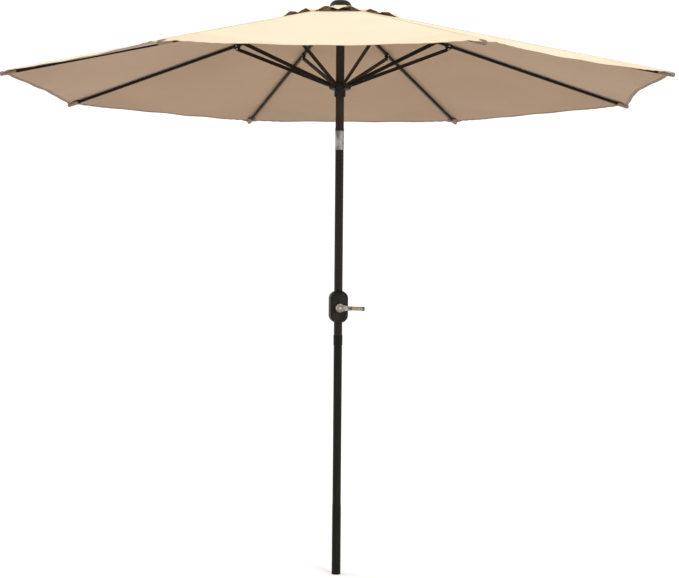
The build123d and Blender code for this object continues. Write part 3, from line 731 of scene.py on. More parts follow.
@dataclass
class CanopyForm:
    """Shape of the open canopy, as functions of the rib line.

    A panel point has two parameters: R, the radius at which its level ring meets a rib, and t,
    from -1 at the middle of one panel, through 0 on the rib, to 1 at the middle of the next.
    """

    pivot_r: float
    crown_z: float
    rim_r: float
    ribs: int = 8
    drop: float = math.radians(14.0)
    lift: float = 0.0118
    vent_r: float = 0.185
    rim_bow: float = 0.030
    rim_bow_parabola: float = 0.45
    east_bow: float = 0.45
    sag: float = 0.007
    sag_power: float = 0.8
    rim_droop: float = 0.016
    droop_from: float = 0.25
    droop_to: float = 1.05
    front_slack: float = 0.38
    left_slack: float = 0.45
    ripple: float = 0.0012
    ripple_reach: float = 0.10
    ripple_waves: float = 4.5
    pucker: Crimp = Crimp(0.0007, 0.018, 0.031)
    seam_flat: float = 0.008
    corner_fold: Crimp = Crimp(0.0022, 0.09, 0.045)
    corner_fold_length: float = 0.22
    unevenness: float = 0.0052
    tip_drop: float = 0.0105
    tip_length: float = 0.040
    tip_half: float = 0.024
    cap_start_r: float = 0.0500
    cap_rim_r: float = 0.265
    cap_lift: float = 0.0145
    cap_bow: float = 0.010
    cap_slope_cosine: float = 0.96
    cap_cut_share: float = 0.97
    cap_ruffle: float = 0.0200
    ruffle_power: float = 2.4
    ruffle_single: float = 0.35
    cap_puff: float = 0.22
    cap_flutter: float = 0.0015
    cap_pucker: Crimp = Crimp(0.0006, 0.2, 0.024)
    crown_rise: float = 0.0062
    crown_rise_reach: float = 0.022
    waves: np.ndarray = field(default_factory=lambda: np.zeros((0, 4)))

    def __post_init__(self) -> None:
        """Choose the slow unevenness of the cloth from a fixed seed."""
        dice = np.random.default_rng(11)
        count = 14
        turn = dice.uniform(0, math.tau, count)
        pitch = math.tau / dice.uniform(0.16, 0.7, count)
        phase = dice.uniform(0, math.tau, count)
        share = dice.uniform(0.3, 1.0, count) / count
        self.waves = np.stack([pitch * np.cos(turn), pitch * np.sin(turn), phase, share], axis=1)

    @property
    def half_step(self) -> float:
        """Half the angle between two ribs."""
        return math.pi / self.ribs

    def azimuth(self, k: int) -> float:
        """Direction of rib k, counted from 1."""
        return self.half_step * (2 * k - 1)

    def line_z(self, radius: np.ndarray) -> np.ndarray:
        """Height of the ribs' centre line at a radius."""
        return self.crown_z - (radius - self.pivot_r) * math.tan(self.drop)

    def flat(self, k: int, radius: np.ndarray, t: np.ndarray) -> np.ndarray:
        """Point of the eight-sided pyramid, level with the rib line at R.

        It goes straight from the rib's corner to the middle of the octagon's side, as t goes
        from 0 to 1 or -1.

        Args:
            k: number of the rib, from 1.
            radius: R of each point.
            t: t of each point.

        Returns:
            Points, in metres.
        """
        a = self.azimuth(k)
        m = a + np.sign(t) * self.half_step
        near = np.cos(self.half_step)
        share = np.abs(t)
        x = radius * ((1 - share) * np.cos(a) + share * near * np.cos(m))
        y = radius * ((1 - share) * np.sin(a) + share * near * np.sin(m))
        return np.stack([x, y, self.line_z(radius)], axis=-1)

    def uneven(self, x: np.ndarray, y: np.ndarray) -> np.ndarray:
        """Sum of plane waves in the plan view, so neighbouring pieces share it.

        Args:
            x: plan positions along X.
            y: plan positions along Y.

        Returns:
            A share of the unevenness for each point, between -1 and 1.
        """
        total = np.zeros_like(x)
        for kx, ky, phase, share in self.waves:
            total += share * np.sin(kx * x + ky * y + phase)
        return total

    def bow(self, k: int, t: np.ndarray) -> np.ndarray:
        """How far the rim is drawn in: a parabola and a half cosine wave, level mid-panel.

        Args:
            k: number of the rib, from 1.
            t: t of each point.

        Returns:
            Metres, one for each t.
        """
        middle = self.azimuth(k) + np.sign(t) * self.half_step
        east = np.clip(np.cos(middle), 0.0, 1.0) ** 6
        depth = self.rim_bow * (1.0 + self.east_bow * east)
        share = np.abs(t)
        parabola = 1.0 - (1.0 - share) ** 2
        wave = 0.5 - 0.5 * np.cos(math.pi * share)
        return depth * (wave + self.rim_bow_parabola * (parabola - wave))

    def slack(self, k: int, t: np.ndarray) -> np.ndarray:
        """How loosely each panel hangs: slacker in front of the crank, tauter to its left.

        Args:
            k: number of the rib, from 1.
            t: t of each point.

        Returns:
            A factor, one for each t.
        """
        middle = self.azimuth(k) + np.sign(t) * self.half_step
        front = np.clip(np.cos(middle - 1.5 * math.pi), 0.0, 1.0) ** 12
        left = np.clip(np.cos(middle - 1.25 * math.pi), 0.0, 1.0) ** 12
        return 1.0 + self.front_slack * front - self.left_slack * left

    def main(self, k: int, s: np.ndarray, t: np.ndarray) -> np.ndarray:
        """Outer face of the main cloth; s goes from 0 at the vent to 1 at the rim.

        R = vent + (rim - bow - vent) s.  The height is the rib line plus the lift, less a sag
        and a rim droop that grow to the middle of the panel, plus slow unevenness, fine ripples
        along the rim, puckers beside the seam and folds at the corner, and less the corner's
        hook over the rib's tip.

        Args:
            k: number of the rib, from 1.
            s: s of each point.
            t: t of each point.

        Returns:
            Points, in metres.
        """
        reach = self.rim_r - self.bow(k, t) - self.vent_r
        radius = self.vent_r + reach * s
        point = self.flat(k, radius, t)
        share = np.abs(t)
        open_share = 1.0 - (1.0 - share) ** 2
        across = radius * share * math.sin(self.half_step)
        from_rim = self.rim_r - self.bow(k, t) - radius
        sag = self.sag * np.sin(math.pi * np.clip(s, 0, 1)) ** self.sag_power * open_share
        droop = self.rim_droop * smoothstep(s, self.droop_from, self.droop_to) * open_share
        droop = droop * self.slack(k, t)
        ripple = self.ripple * np.exp(-from_rim / self.ripple_reach) * open_share
        ripple = ripple * np.sin(math.pi * self.ripple_waves * share)
        pucker = self.pucker.at(across, radius) * np.minimum(1, across / self.seam_flat)
        fold = self.corner_fold.at(across, across) * np.exp(-from_rim / self.corner_fold_length)
        hook = self.tip_drop * smoothstep(-from_rim, -self.tip_length, 0.002)
        hook = hook * np.exp(-(across / self.tip_half) ** 2)
        rough = self.uneven(point[..., 0], point[..., 1]) * self.unevenness * open_share
        point[..., 2] += self.lift - sag - droop + ripple + pucker
        point[..., 2] += rough + fold - hook
        return point

    def cap(self, k: int, s: np.ndarray, t: np.ndarray) -> np.ndarray:
        """Outer face of the vent cap; s goes from 0 under the finial to 1 at its edge.

        Between two ribs the edge stands up in two soft waves, half cosines of t, that fade
        towards the crown as a power of s.

        Args:
            k: number of the rib, from 1.
            s: s of each point.
            t: t of each point.

        Returns:
            Points, in metres.
        """
        share = np.abs(t)
        bow = self.cap_bow * (1.0 - (1.0 - share) ** 2)
        radius = self.cap_start_r + (self.cap_rim_r - bow - self.cap_start_r) * s
        point = self.flat(k, radius, t)
        wide = 0.5 - 0.5 * np.cos(math.pi * share)
        middle = self.azimuth(k) + np.sign(t) * self.half_step
        double = 0.5 - 0.5 * np.cos(math.tau * share)
        puff = 1.0 + self.cap_puff * np.sin(3.0 * middle + 0.7)
        waves = double + self.ruffle_single * (wide - double)
        ruffle = waves * self.cap_ruffle * puff * np.clip(s, 0, 1) ** self.ruffle_power
        flutter = self.cap_flutter * np.sin(math.pi * 5.5 * share) * wide * s ** 3
        rise = self.crown_rise * np.exp(-(radius - self.cap_start_r) / self.crown_rise_reach)
        pucker = self.cap_pucker.at(share, radius)
        point[..., 2] += self.cap_lift + rise + ruffle + flutter + pucker * s
        return point

    def frame_at(self, surface: Callable, k: int, s: np.ndarray,
                 t: np.ndarray) -> tuple[np.ndarray, np.ndarray, np.ndarray, np.ndarray]:
        """A surface's point, its unit directions across and outwards, and its upward normal.

        Args:
            surface: one tier's point function.
            k: number of the rib, from 1.
            s: s of each point.
            t: t of each point.

        Returns:
            Point, across, out and normal, each n by 3.
        """
        small = 1e-3
        here = surface(k, s, t)
        span_t = surface(k, s, t + small) - surface(k, s, t - small)
        span_s = surface(k, s + small, t) - surface(k, s - small, t)
        across = span_t / np.linalg.norm(span_t, axis=-1, keepdims=True)
        normal = np.cross(span_s, span_t)
        normal /= np.linalg.norm(normal, axis=-1, keepdims=True)
        out = np.cross(across, normal)
        return here, across, out, normal


class CanopyPart(Enum):
    """The two tiers of the canopy."""

    MAIN = "panel"
    CAP = "vent_cap"


@dataclass
class Canopy:
    """All the cloth: eight pieces of each tier, one on each rib, and what is sewn to them."""

    form: CanopyForm
    sky: bpy.types.Material
    # The underside's cloth is a darker copy of the top's: painted shade.
    shade: bpy.types.Material
    hem_cloth: bpy.types.Material
    thread: bpy.types.Material
    cloth_wall: float = 0.0011
    keep_main: float = 0.103
    keep_cap: float = 0.30
    rows_main: int = 96
    rows_cap: int = 26
    hem_width: float = 0.015
    hem_half: float = 0.0015
    cap_hem_width: float = 0.012
    cap_hem_half: float = 0.0011
    stitch_pitch: float = 0.0048
    stitch_row: float = 0.0036
    stitch_rise: float = 0.00095
    hem_rows: tuple[float, ...] = (0.0030, 0.0115)
    cap_hem_rows: tuple[float, ...] = (0.0085,)
    hem_stitch_above: float = 0.00085
    hem_stitch_below: float = 0.0021
    seam_half: float = 0.0055
    seam_rise: float = 0.0011
    pocket_length: float = 0.058
    pocket_nose: float = 0.0045
    pocket_shut: float = 0.002
    pocket_tip: tuple[float, float] = (0.0090, 0.0088)
    pocket_mouth: tuple[float, float] = (0.0200, 0.0092)
    columns: np.ndarray = field(default_factory=lambda: np.zeros(0))

    def __post_init__(self) -> None:
        """Space the columns closer beside the rib, where the seam puckers the cloth."""
        u = np.linspace(0.0, 1.0, 27)
        half = 0.35 * u + 0.65 * u ** 1.7
        self.columns = np.concatenate([-half[:0:-1], half])

    def fold_away(self, made: bpy.types.Object, k: int) -> None:
        """Ride rib k: hang the piece on the rib's body and give it a mesh of its own.

        Args:
            made: the piece.
            k: number of the rib, from 1.
        """
        a = self.form.azimuth(k)
        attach(made, f"rib_set_{k}")
        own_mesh(made)

    def sheet_piece(self, part: CanopyPart, k: int) -> bpy.types.Object:
        """One tier's cloth on rib k: a grid of s and t, doubled at the cloth's thickness.

        The outer grid is the form's surface; the inner one lies a cloth wall below it along the
        normal, and strips close the four edges.  UVs are metres along and across the cloth.

        Args:
            part: the canopy's tier.
            k: number of the rib, from 1.

        Returns:
            The new piece.
        """
        main = part is CanopyPart.MAIN
        surface = self.form.main if main else self.form.cap
        rows = self.rows_main if main else self.rows_cap
        s, t = np.meshgrid(np.linspace(0, 1, rows), self.columns, indexing="ij")
        point, _, _, normal = self.form.frame_at(surface, k, s, t)
        below = point - normal * self.cloth_wall
        count = point.shape[0] * point.shape[1]
        columns = len(self.columns)
        top = grid_faces(rows, columns)
        ids = np.arange(count).reshape(rows, columns)
        loop = np.concatenate([ids[0, :-1], ids[:-1, -1], ids[-1, :0:-1], ids[:0:-1, 0]])
        after = np.roll(loop, -1)
        sides = np.stack([loop, after, after + count, loop + count], axis=-1)
        under = top[:, ::-1] + count
        faces = np.concatenate([top[:, ::-1], under[:, ::-1], sides])
        points = np.concatenate([point.reshape(-1, 3), below.reshape(-1, 3)])
        made = mesh_piece(f"{part.value}_{k}", points, faces)
        lay_weave(made, *self.cloth_metres(k, points))
        # Underside faces (slot 1) take the darker shade cloth: painted shade.
        slots = np.zeros(len(faces), np.int32)
        slots[len(top):2 * len(top)] = 1
        made.data.materials.append(self.sky)
        made.data.materials.append(self.shade)
        made.data.polygons.foreach_set("material_index", slots)
        flat = normal.reshape(-1, 3)
        wall = np.cross(points[sides[:, 1]] - points[sides[:, 0]],
                        points[sides[:, 3]] - points[sides[:, 0]])
        wall /= np.linalg.norm(wall, axis=1, keepdims=True)
        shading = np.concatenate([flat[faces[:len(top)]].reshape(-1, 3),
                                  -flat[faces[len(top):2 * len(top)] - count].reshape(-1, 3),
                                  np.repeat(wall, 4, axis=0)])
        made.data.normals_split_custom_set(shading.tolist())
        return made

    def cloth_metres(self, k: int, points: np.ndarray) -> tuple[np.ndarray, np.ndarray]:
        """Metres across rib k's line, and along it on the slope.

        Args:
            k: number of the rib, from 1.
            points: vertices, n by 3, in metres.

        Returns:
            Metres across, and metres along.
        """
        a = self.form.azimuth(k)
        across = points[:, 1] * math.cos(a) - points[:, 0] * math.sin(a)
        along = points[:, 1] * math.sin(a) + points[:, 0] * math.cos(a)
        return across, along / math.cos(self.form.drop)

    def hem(self, part: CanopyPart, k: int) -> bpy.types.Object:
        """Turned edge: a flat rounded band just inside the rim, in the top's cloth above and in
        a darker cloth below, as painted shade.

        Args:
            part: the canopy's tier.
            k: number of the rib, from 1.

        Returns:
            The new piece.
        """
        main = part is CanopyPart.MAIN
        surface = self.form.main if main else self.form.cap
        width = self.hem_width if main else self.cap_hem_width
        t = np.unique(np.concatenate([self.columns, (self.columns[1:] + self.columns[:-1]) / 2]))
        point, _, out, normal = self.form.frame_at(surface, k, np.ones_like(t), t)
        turn = np.linspace(0, math.tau, 12, endpoint=False)
        half = self.hem_half if main else self.cap_hem_half
        x = np.sign(np.cos(turn)) * np.abs(np.cos(turn)) ** 0.45 * width / 2
        z = np.sign(np.sin(turn)) * np.abs(np.sin(turn)) ** 0.8 * half
        profile = np.stack([x - width / 2 + 0.001, z - self.cloth_wall / 2], axis=-1)
        points, faces = tube_along(point, out, normal, profile)
        made = closed_piece(f"hem_{part.value}_{k}", points, faces)
        lay_weave(made, *self.cloth_metres(k, points))
        # Upper faces wear the top's cloth, lower faces the dark cloth: painted shade.
        made.data.materials.append(self.sky)
        made.data.materials.append(self.hem_cloth)
        under = np.ones(len(faces), np.int32)
        ring = len(turn)
        under[:(len(t) - 1) * ring] = np.tile(np.arange(ring) >= ring // 2, len(t) - 1)
        made.data.polygons.foreach_set("material_index", under)
        self.fold_away(made, k)
        return made

    def seam(self, part: CanopyPart, k: int) -> bpy.types.Object:
        """Felled seam over the rib: a low rounded ridge that follows the cloth at t = 0.

        Args:
            part: the canopy's tier.
            k: number of the rib, from 1.

        Returns:
            The new piece.
        """
        main = part is CanopyPart.MAIN
        surface = self.form.main if main else self.form.cap
        s = np.linspace(0.002, 0.998, 220 if main else 48)
        t = np.full_like(s, ON_RIB)
        point, across, _, normal = self.form.frame_at(surface, k, s, t)
        turn = np.linspace(0, math.tau, 10, endpoint=False)
        pucker = 1.0 + 0.10 * np.sin(s * 260.0 + k)
        x = np.sign(np.cos(turn)) * np.abs(np.cos(turn)) ** 0.5 * self.seam_half
        z = np.sin(turn) * self.seam_rise
        profile = np.stack([np.outer(pucker, x), np.outer(np.ones_like(s), z)], axis=-1)
        points, faces = tube_along(point, across, normal, profile)
        made = closed_piece(f"seam_{part.value}_{k}", points, faces)
        lay_weave(made, *self.cloth_metres(k, points))
        made.data.materials.append(self.sky)
        self.fold_away(made, k)
        return made

    def stitches(self, part: CanopyPart, k: int) -> bpy.types.Object:
        """A row on each side of the seam's middle and one or two along both faces of the hem.

        Args:
            part: the canopy's tier.
            k: number of the rib, from 1.

        Returns:
            The new piece.
        """
        main = part is CanopyPart.MAIN
        surface = self.form.main if main else self.form.cap
        centres, ways, ups = [], [], []
        s_fine = np.linspace(0.01, 0.985, 4000)
        line = surface(k, s_fine, np.full_like(s_fine, ON_RIB))
        run = np.concatenate([[0], np.cumsum(np.linalg.norm(np.diff(line, axis=0), axis=1))])
        stops = np.arange(0.0, run[-1], self.stitch_pitch)
        s = np.interp(stops, run, s_fine)
        point, across, out, normal = self.form.frame_at(surface, k, s, np.full_like(s, ON_RIB))
        for side in (-1, 1):
            centres.append(point + across * (side * self.stitch_row)
                           + normal * self.stitch_rise)
            ways.append(out)
            ups.append(normal)
        t_fine = np.linspace(-0.998, 0.998, 4000)
        edge = surface(k, np.ones_like(t_fine), t_fine)
        run = np.concatenate([[0], np.cumsum(np.linalg.norm(np.diff(edge, axis=0), axis=1))])
        t = np.interp(np.arange(0.0, run[-1], self.stitch_pitch), run, t_fine)
        point, across, out, normal = self.form.frame_at(surface, k, np.ones_like(t), t)
        for inset in self.hem_rows if main else self.cap_hem_rows:
            for face, rise in ((1.0, self.hem_stitch_above), (-1.0, self.hem_stitch_below)):
                centres.append(point - out * inset + normal * rise * face)
                ways.append(across)
                ups.append(normal * face)
        made = stitch_cloud(f"stitching_{part.value}_{k}", np.concatenate(centres),
                            np.concatenate(ways), np.concatenate(ups))
        made.data.materials.append(self.thread)
        self.fold_away(made, k)
        return made

    def pocket(self, k: int) -> bpy.types.Object:
        """Corner pocket: a flat cloth wedge around the rib's tip, shut at its nose.

        An ellipse is carried along the rib; it is widest at the mouth, narrows in a straight
        line to the tip and closes past it as a quarter ellipse.

        Args:
            k: number of the rib, from 1.

        Returns:
            The new piece.
        """
        a = self.form.azimuth(k)
        along = np.array([math.cos(a) * math.cos(self.form.drop),
                          math.sin(a) * math.cos(self.form.drop), -math.sin(self.form.drop)])
        side = np.array([-math.sin(a), math.cos(a), 0.0])
        up = np.cross(along, side)
        tip = np.array([self.form.rim_r * math.cos(a), self.form.rim_r * math.sin(a),
                        float(self.form.line_z(np.array(self.form.rim_r)))])
        x = np.concatenate([np.linspace(-self.pocket_length, -self.pocket_shut, 24),
                            np.linspace(-self.pocket_shut / 2, self.pocket_nose, 9)])
        past = np.clip(x + self.pocket_shut, 0, None) / (self.pocket_nose + self.pocket_shut)
        full = np.sqrt(np.clip(1.0 - past ** 2, 0.0004, 1.0))
        wrinkle = 1.0 + 0.03 * np.sin(x * 430.0 + k * 1.3)
        back = np.clip(-x / self.pocket_length, 0.0, 1.0)
        size = np.outer(1 - back, self.pocket_tip) + np.outer(back, self.pocket_mouth)
        wide = size[:, 0] * wrinkle * full
        tall = size[:, 1] * full
        turn = np.linspace(0, math.tau, 28, endpoint=False)
        profile = np.stack([np.outer(wide, np.cos(turn)), np.outer(tall, np.sin(turn))],
                           axis=-1)
        path = tip + np.outer(x, along) + np.outer(np.full_like(x, 0.0008), up)
        points, faces = tube_along(path, np.tile(side, (len(x), 1)), np.tile(up, (len(x), 1)),
                                   profile)
        made = closed_piece(f"corner_pocket_{k}", points, faces)
        lay_weave(made, points @ side, points @ along)
        # The pocket wears the dark cloth, darkened as painted shade.
        made.data.materials.append(self.hem_cloth)
        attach(made, f"rib_set_{k}")
        return made

    def panel_area(self) -> tuple[float, float, float]:
        """Flat size of one main panel: width at the rim, length, and the cut's area.

        The cut is a trapezoid less one plain parabola for the drawn-in rim.  It leaves out the
        half cosine, the deeper bow to the east and the droop, so the surface is 1% larger.

        Returns:
            Width, length and area, in metres.
        """
        form = self.form
        wide = 2 * form.rim_r * math.sin(form.half_step)
        narrow = 2 * form.vent_r * math.sin(form.half_step)
        slope = math.atan(math.tan(form.drop) / math.cos(form.half_step))
        length = (form.rim_r - form.vent_r) * math.cos(form.half_step) / math.cos(slope)
        area = (wide + narrow) / 2 * length - wide * form.rim_bow * 2 / 3
        return wide, length, area

    def cap_area(self) -> tuple[float, float, float]:
        """Flat size of one vent-cap panel: width at its edge, length, and the cut's area.

        The slope's cosine and the share of the trapezoid that is left are round allowances.
        The surface leaves 0.948 of the trapezoid, so this cut is about 2% too large.

        Returns:
            Width, length and area, in metres.
        """
        form = self.form
        wide = 2 * form.cap_rim_r * math.sin(form.half_step)
        narrow = 2 * form.cap_start_r * math.sin(form.half_step)
        level = (form.cap_rim_r - form.cap_start_r) * math.cos(form.half_step)
        length = level / form.cap_slope_cosine
        return wide, length, (wide + narrow) / 2 * length * form.cap_cut_share

    def centre_patch(self) -> bpy.types.Object:
        """Round patch under the finial: a shallow dished disc with a rolled rim.

        Returns:
            The new piece.
        """
        low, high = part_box("canopy_centre")
        radius = (high.x - low.x) / 2 + 0.001
        steps = 64
        turn = np.linspace(0, math.tau, steps, endpoint=False)
        reach = np.array([0.08, 0.5, 0.85, 0.97, 1.0, 0.97, 0.85, 0.5, 0.08]) * radius
        lift = np.array([0.92, 0.90, 0.86, 0.78, 0.5, 0.24, 0.16, 0.12, 0.10])
        z = low.z + (high.z - low.z) * lift
        crimp = 1.0 + 0.004 * np.sin(turn * 24)
        x = np.outer(reach, np.cos(turn) * crimp)
        y = np.outer(reach, np.sin(turn) * crimp)
        points = np.stack([x, y, np.broadcast_to(z[:, None], x.shape)], axis=-1)
        faces = grid_faces(len(reach), len(turn), around=True)
        ring = np.arange(steps)
        after = (ring + 1) % steps
        last = (len(reach) - 1) * steps
        hole = np.stack([ring + last, after + last, after, ring], axis=-1)
        made = closed_piece("canopy_patch", points.reshape(-1, 3),
                            np.concatenate([faces, hole]))
        lay_weave(made, x, y)
        # The patch wears the same dark cloth of painted shade.
        made.data.materials.append(self.hem_cloth)
        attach(made, "upper_mast")
        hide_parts("canopy_centre")
        return made

    def build(self) -> None:
        for k in range(1, self.form.ribs + 1):
            panel = self.sheet_piece(CanopyPart.MAIN, k)
            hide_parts(f"canopy_gore_{k}")
            self.fold_away(panel, k)
            cap = self.sheet_piece(CanopyPart.CAP, k)
            self.fold_away(cap, k)
            sewn = [self.hem(CanopyPart.MAIN, k), self.seam(CanopyPart.MAIN, k),
                    self.stitches(CanopyPart.MAIN, k), self.pocket(k)]
            sewn_cap = [self.hem(CanopyPart.CAP, k), self.seam(CanopyPart.CAP, k),
                        self.stitches(CanopyPart.CAP, k)]
            width, length, area = self.panel_area()
            width, length, area = self.cap_area()
            log.info("canopy on rib %d", k)
        self.centre_patch()
        log.info("centre patch")


# ---- Rigid parts ----------------------------------------------------------------------------
@dataclass
class Hardware:
    """Every CAD node that shows, with the finish it wears."""

    nodes: dict[str, bpy.types.Object]

    def dress(self, names: Iterable[str], finish: bpy.types.Material) -> None:
        """Give CAD nodes a finish."""
        for name in names:
            node = self.nodes[name]
            if not node.material_slots:
                node.data.materials.append(finish)
            for holder in node.material_slots:
                holder.material = finish
            log.info("dressed %s", name)


# ---- Studio ---------------------------------------------------------------------------------
@dataclass(frozen=True)
class Lamp:
    """One soft round light: where it hangs, what it faces, its width, power and colour."""

    name: str
    place: tuple[float, float, float]
    target: tuple[float, float, float]
    size: float
    power: float
    colour: Colour


@dataclass
class Studio:
    """Floor, soft lights and the camera."""

    camera_distance: float = 5.7765
    camera_height: float = 1.3403
    camera_azimuth: float = math.radians(2.786)
    camera_pitch: float = math.radians(-1.211)
    camera_roll: float = math.radians(0.471)
    camera_yaw: float = math.radians(0.049)
    camera_lens: float = 71.94
    floor_radius: float = 18.0
    world_strength: float = 1.12
    lights: list[Lamp] = field(default_factory=lambda: [
        Lamp("key", (3.4, -4.6, 6.0), (0.0, 0.0, 2.2), 3.0, 190.0, (1.0, 0.94, 0.87)),
        Lamp("fill", (4.8, -3.2, 1.2), (0.0, 0.2, 2.2), 2.5, 26.0, (1.0, 0.95, 0.90)),
        Lamp("rim", (-5.5, 1.6, 4.6), (-0.6, 0.0, 2.2), 2.0, 120.0, (0.92, 0.92, 1.0)),
    ])

    def floor(self, finish: bpy.types.Material) -> None:
        """Level floor with a softly rising rim: rings about the pole's axis.

        The height is the square of how far a ring lies past two thirds of the radius.

        Args:
            finish: the floor's material.
        """
        reach = np.linspace(0.0, 1.0, 40) ** 1.3 * self.floor_radius
        reach[0] = 0.001
        rise = 0.004 * np.clip(reach - self.floor_radius * 2 / 3, 0, None) ** 2
        around = np.linspace(0, math.tau, 96, endpoint=False)
        points = np.stack([np.outer(reach, np.cos(around)), np.outer(reach, np.sin(around)),
                           np.outer(rise, np.ones_like(around))], axis=-1).reshape(-1, 3)
        faces = grid_faces(len(reach), len(around), around=True)[:, ::-1]
        made = mesh_piece("studio_floor", points, faces)
        made.data.materials.append(finish)
        made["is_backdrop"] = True

    def world(self) -> None:
        """Even white surroundings."""
        sky = bpy.data.worlds.new("studio_sky")
        bpy.context.scene.world = sky
        sky.use_nodes = True
        back = sky.node_tree.nodes["Background"]
        back.inputs["Color"].default_value = (1.0, 1.0, 1.0, 1.0)
        back.inputs["Strength"].default_value = self.world_strength
        bpy.context.scene.view_settings.view_transform = "Standard"

    def lamps(self) -> None:
        """Large soft area lights, each aimed at its target."""
        for light in self.lights:
            data = bpy.data.lights.new(light.name, "AREA")
            data.shape = "DISK"
            data.size = light.size
            data.energy = light.power
            data.color = light.colour
            lamp = bpy.data.objects.new(light.name, data)
            lamp.matrix_world = look_at(np.array(light.place), np.array(light.target))
            bpy.context.scene.collection.objects.link(lamp)

    def camera(self) -> None:
        """Camera in front of the crank, level with the middle of the pole."""
        place = np.array([0.0, -self.camera_distance, self.camera_height])
        level = turned(2, self.camera_azimuth)
        aim = turned(2, -self.camera_yaw) @ turned(0, self.camera_pitch + math.pi / 2)
        frame = np.eye(4)
        frame[:3, :3] = level @ aim @ turned(2, self.camera_roll)
        frame[:3, 3] = level @ place
        data = bpy.data.cameras.new("camera")
        data.lens = self.camera_lens
        data.sensor_width = 36.0
        data.clip_end = 100.0
        made = bpy.data.objects.new("camera", data)
        made.matrix_world = to_matrix(frame)
        bpy.context.scene.collection.objects.link(made)
        bpy.context.scene.camera = made


def turned(axis: int, angle: float) -> np.ndarray:
    """Rotation about the X, Y or Z axis (0, 1 or 2), as a 3 by 3 array.

    Args:
        axis: 0, 1 or 2 for X, Y or Z.
        angle: the turn, in radians.

    Returns:
        The rotation.
    """
    i, j = (axis + 1) % 3, (axis + 2) % 3
    turn = np.eye(3)
    turn[i, i] = turn[j, j] = math.cos(angle)
    turn[i, j], turn[j, i] = -math.sin(angle), math.sin(angle)
    return turn


def to_matrix(array: np.ndarray) -> Matrix:
    """A 4 by 4 array as Blender's matrix."""
    return Matrix(array.tolist())


def look_at(place: np.ndarray, target: np.ndarray) -> Matrix:
    """Frame at a place whose -Z axis points at the target.

    Args:
        place: where it stands.
        target: what it faces.

    Returns:
        The frame, as a matrix.
    """
    back = place - target
    back = back / np.linalg.norm(back)
    right = np.cross([0.0, 0.0, 1.0], back)
    right = right / np.linalg.norm(right)
    frame = np.eye(4)
    frame[:3, 0], frame[:3, 1], frame[:3, 2] = right, np.cross(back, right), back
    frame[:3, 3] = place
    return to_matrix(frame)


# ---- Whole object ---------------------------------------------------------------------------
def canopy_form(frame: dict, bounds: tuple) -> CanopyForm:
    """Read the canopy's driving sizes from the frame.

    Args:
        bounds: the CAD model's lowest and highest corner.

    Returns:
        The form with its pivots and rim in place.
    """
    hinge = next(j for j in frame["joints"] if j["name"] == "rib_hinge_1")
    x, y, z = hinge["pos_m"]
    rim = float(bounds[1].x) / math.cos(math.pi / 8)
    tip_gap = 0.0005
    return CanopyForm(pivot_r=math.hypot(x, y), crown_z=z, rim_r=rim - tip_gap)


def numbered(stem: str, count: int = 8) -> list[str]:
    """Names stem_1 to stem_count."""
    return [f"{stem}_{k}" for k in range(1, count + 1)]


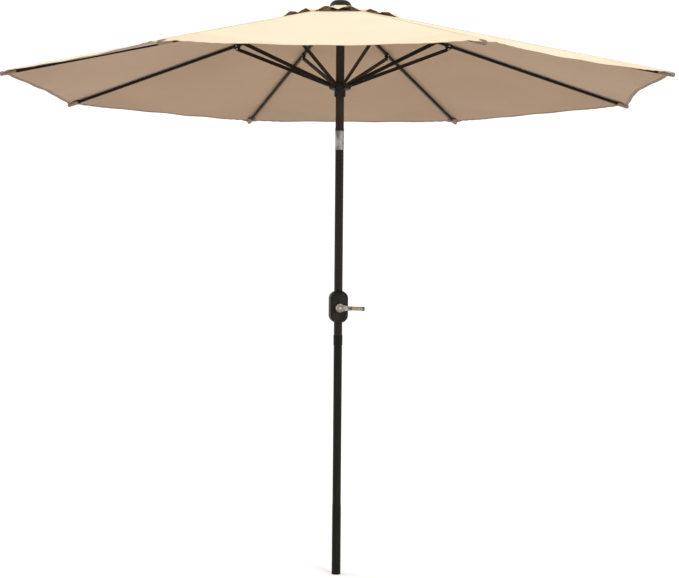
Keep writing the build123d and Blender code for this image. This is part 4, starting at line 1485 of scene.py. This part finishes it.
def dress_hardware(nodes: dict[str, bpy.types.Object]) -> None:
    """Give each rigid CAD node its finish.

    Args:
        nodes: the frame's CAD objects, by name.
    """
    hardware = Hardware(nodes)
    pole = PowderCoat("pole_powder_coat", (0.0085, 0.0088, 0.0058), (0.034, 0.032, 0.025),
                      gloss=0.08).build()
    middle = PowderCoat("middle_powder_coat", (0.0155, 0.0130, 0.0105), (0.04, 0.034, 0.028),
                        gloss=0.12).build()
    mast = PowderCoat("mast_powder_coat", (0.026, 0.019, 0.013), (0.05, 0.038, 0.028),
                      gloss=0.15).build()
    ribs = PowderCoat("rib_powder_coat", (0.0125, 0.0075, 0.0040), (0.035, 0.022, 0.014),
                      roughness=0.5, gloss=0.15).build()
    nylon = Moulded("black_nylon", (0.0085, 0.0078, 0.0058), (0.020, 0.018, 0.013),
                    gloss=0.13).build()
    ring = Moulded("ring_nylon", (0.014, 0.014, 0.0125), (0.028, 0.028, 0.025)).build()
    acetal = Moulded("natural_acetal", (0.60, 0.59, 0.54), (0.68, 0.67, 0.62)).build()
    grip = Moulded("taupe_grip", (0.245, 0.19, 0.147), (0.31, 0.245, 0.195), roughness=0.55,
                   gloss=0.35, grain_scale=700.0).build()
    steel = PlatedSteel("zinc_plate").build()
    band = CrinkledMetal("wrapped_casting").build()
    arm = CastPaint("crank_paint", (0.36, 0.315, 0.27), (0.17, 0.145, 0.12)).build()
    knob = Moulded("grip_end", (0.085, 0.070, 0.055), (0.14, 0.115, 0.09), gloss=0.3).build()
    hardware.dress(["foot_sleeve", "lower_pole", "pole_coupler"], pole)
    hardware.dress(["middle_pole"], middle)
    hardware.dress(["upper_pole"], mast)
    hardware.dress(numbered("rib") + numbered("strut"), ribs)
    hardware.dress(["housing_front", "housing_back", "crown", "runner", "finial",
                    "tilt_button", "crown_pulley", "axle_bushes"], nylon)
    hardware.dress(["tilt_upper_ring"], ring)
    hardware.dress(["cord_spool"], acetal)
    hardware.dress(["brake_spring", "crank_fasteners", "tilt_pin", "tilt_spring", "crown_pins",
                    "runner_ring", "housing_screws"], steel)
    for k, name in enumerate(numbered("rib_fittings")):
        fitting = JointFitting(f"joint_fitting_{k + 1}", math.pi / 8 * (2 * k + 1)).build()
        hardware.dress([name], fitting)
    hardware.dress(["tilt_lower_knuckle", "tilt_upper_knuckle"], band)
    hardware.dress(["crank_arm"], arm)
    hardware.dress(["grip_sleeve"], grip)
    hardware.dress(["grip_spindle"], knob)


def cloth_canopy(frame: dict, bounds: tuple) -> Canopy:
    """The canopy with its cloth finishes.

    Args:
        bounds: the CAD model's lowest and highest corner.

    Returns:
        The canopy, ready to build.
    """
    sky = Cloth("canopy_sky", (0.815, 0.70, 0.50), (0.50, 0.36, 0.25)).build()
    # A darker copy of the top's cloth for the underside: painted shade.
    shade = Cloth("canopy_shade", (0.352, 0.246, 0.159), (0.24, 0.165, 0.11)).build()
    # Darker still: painted shade for the hem's lower faces, the pockets and the centre patch.
    hem = Cloth("hem_cloth", (0.215, 0.147, 0.096), (0.13, 0.09, 0.065), glow=0.06).build()
    thread = Thread("sewing_thread", (0.60, 0.46, 0.33)).build()
    return Canopy(canopy_form(frame, bounds), sky, shade, hem, thread)


def main() -> None:
    """Build the looks around the frame, in order."""
    logging.basicConfig(level=logging.INFO, format="%(name)s: %(message)s")
    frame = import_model()
    cad_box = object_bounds()
    dress_hardware(frame["nodes"])
    cloth_canopy(frame, cad_box).build()
    studio = Studio()
    studio.floor(Backdrop("studio_paper").build())
    studio.world()
    studio.lamps()
    studio.camera()
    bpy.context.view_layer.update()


if __name__ == "__main__":
    main()
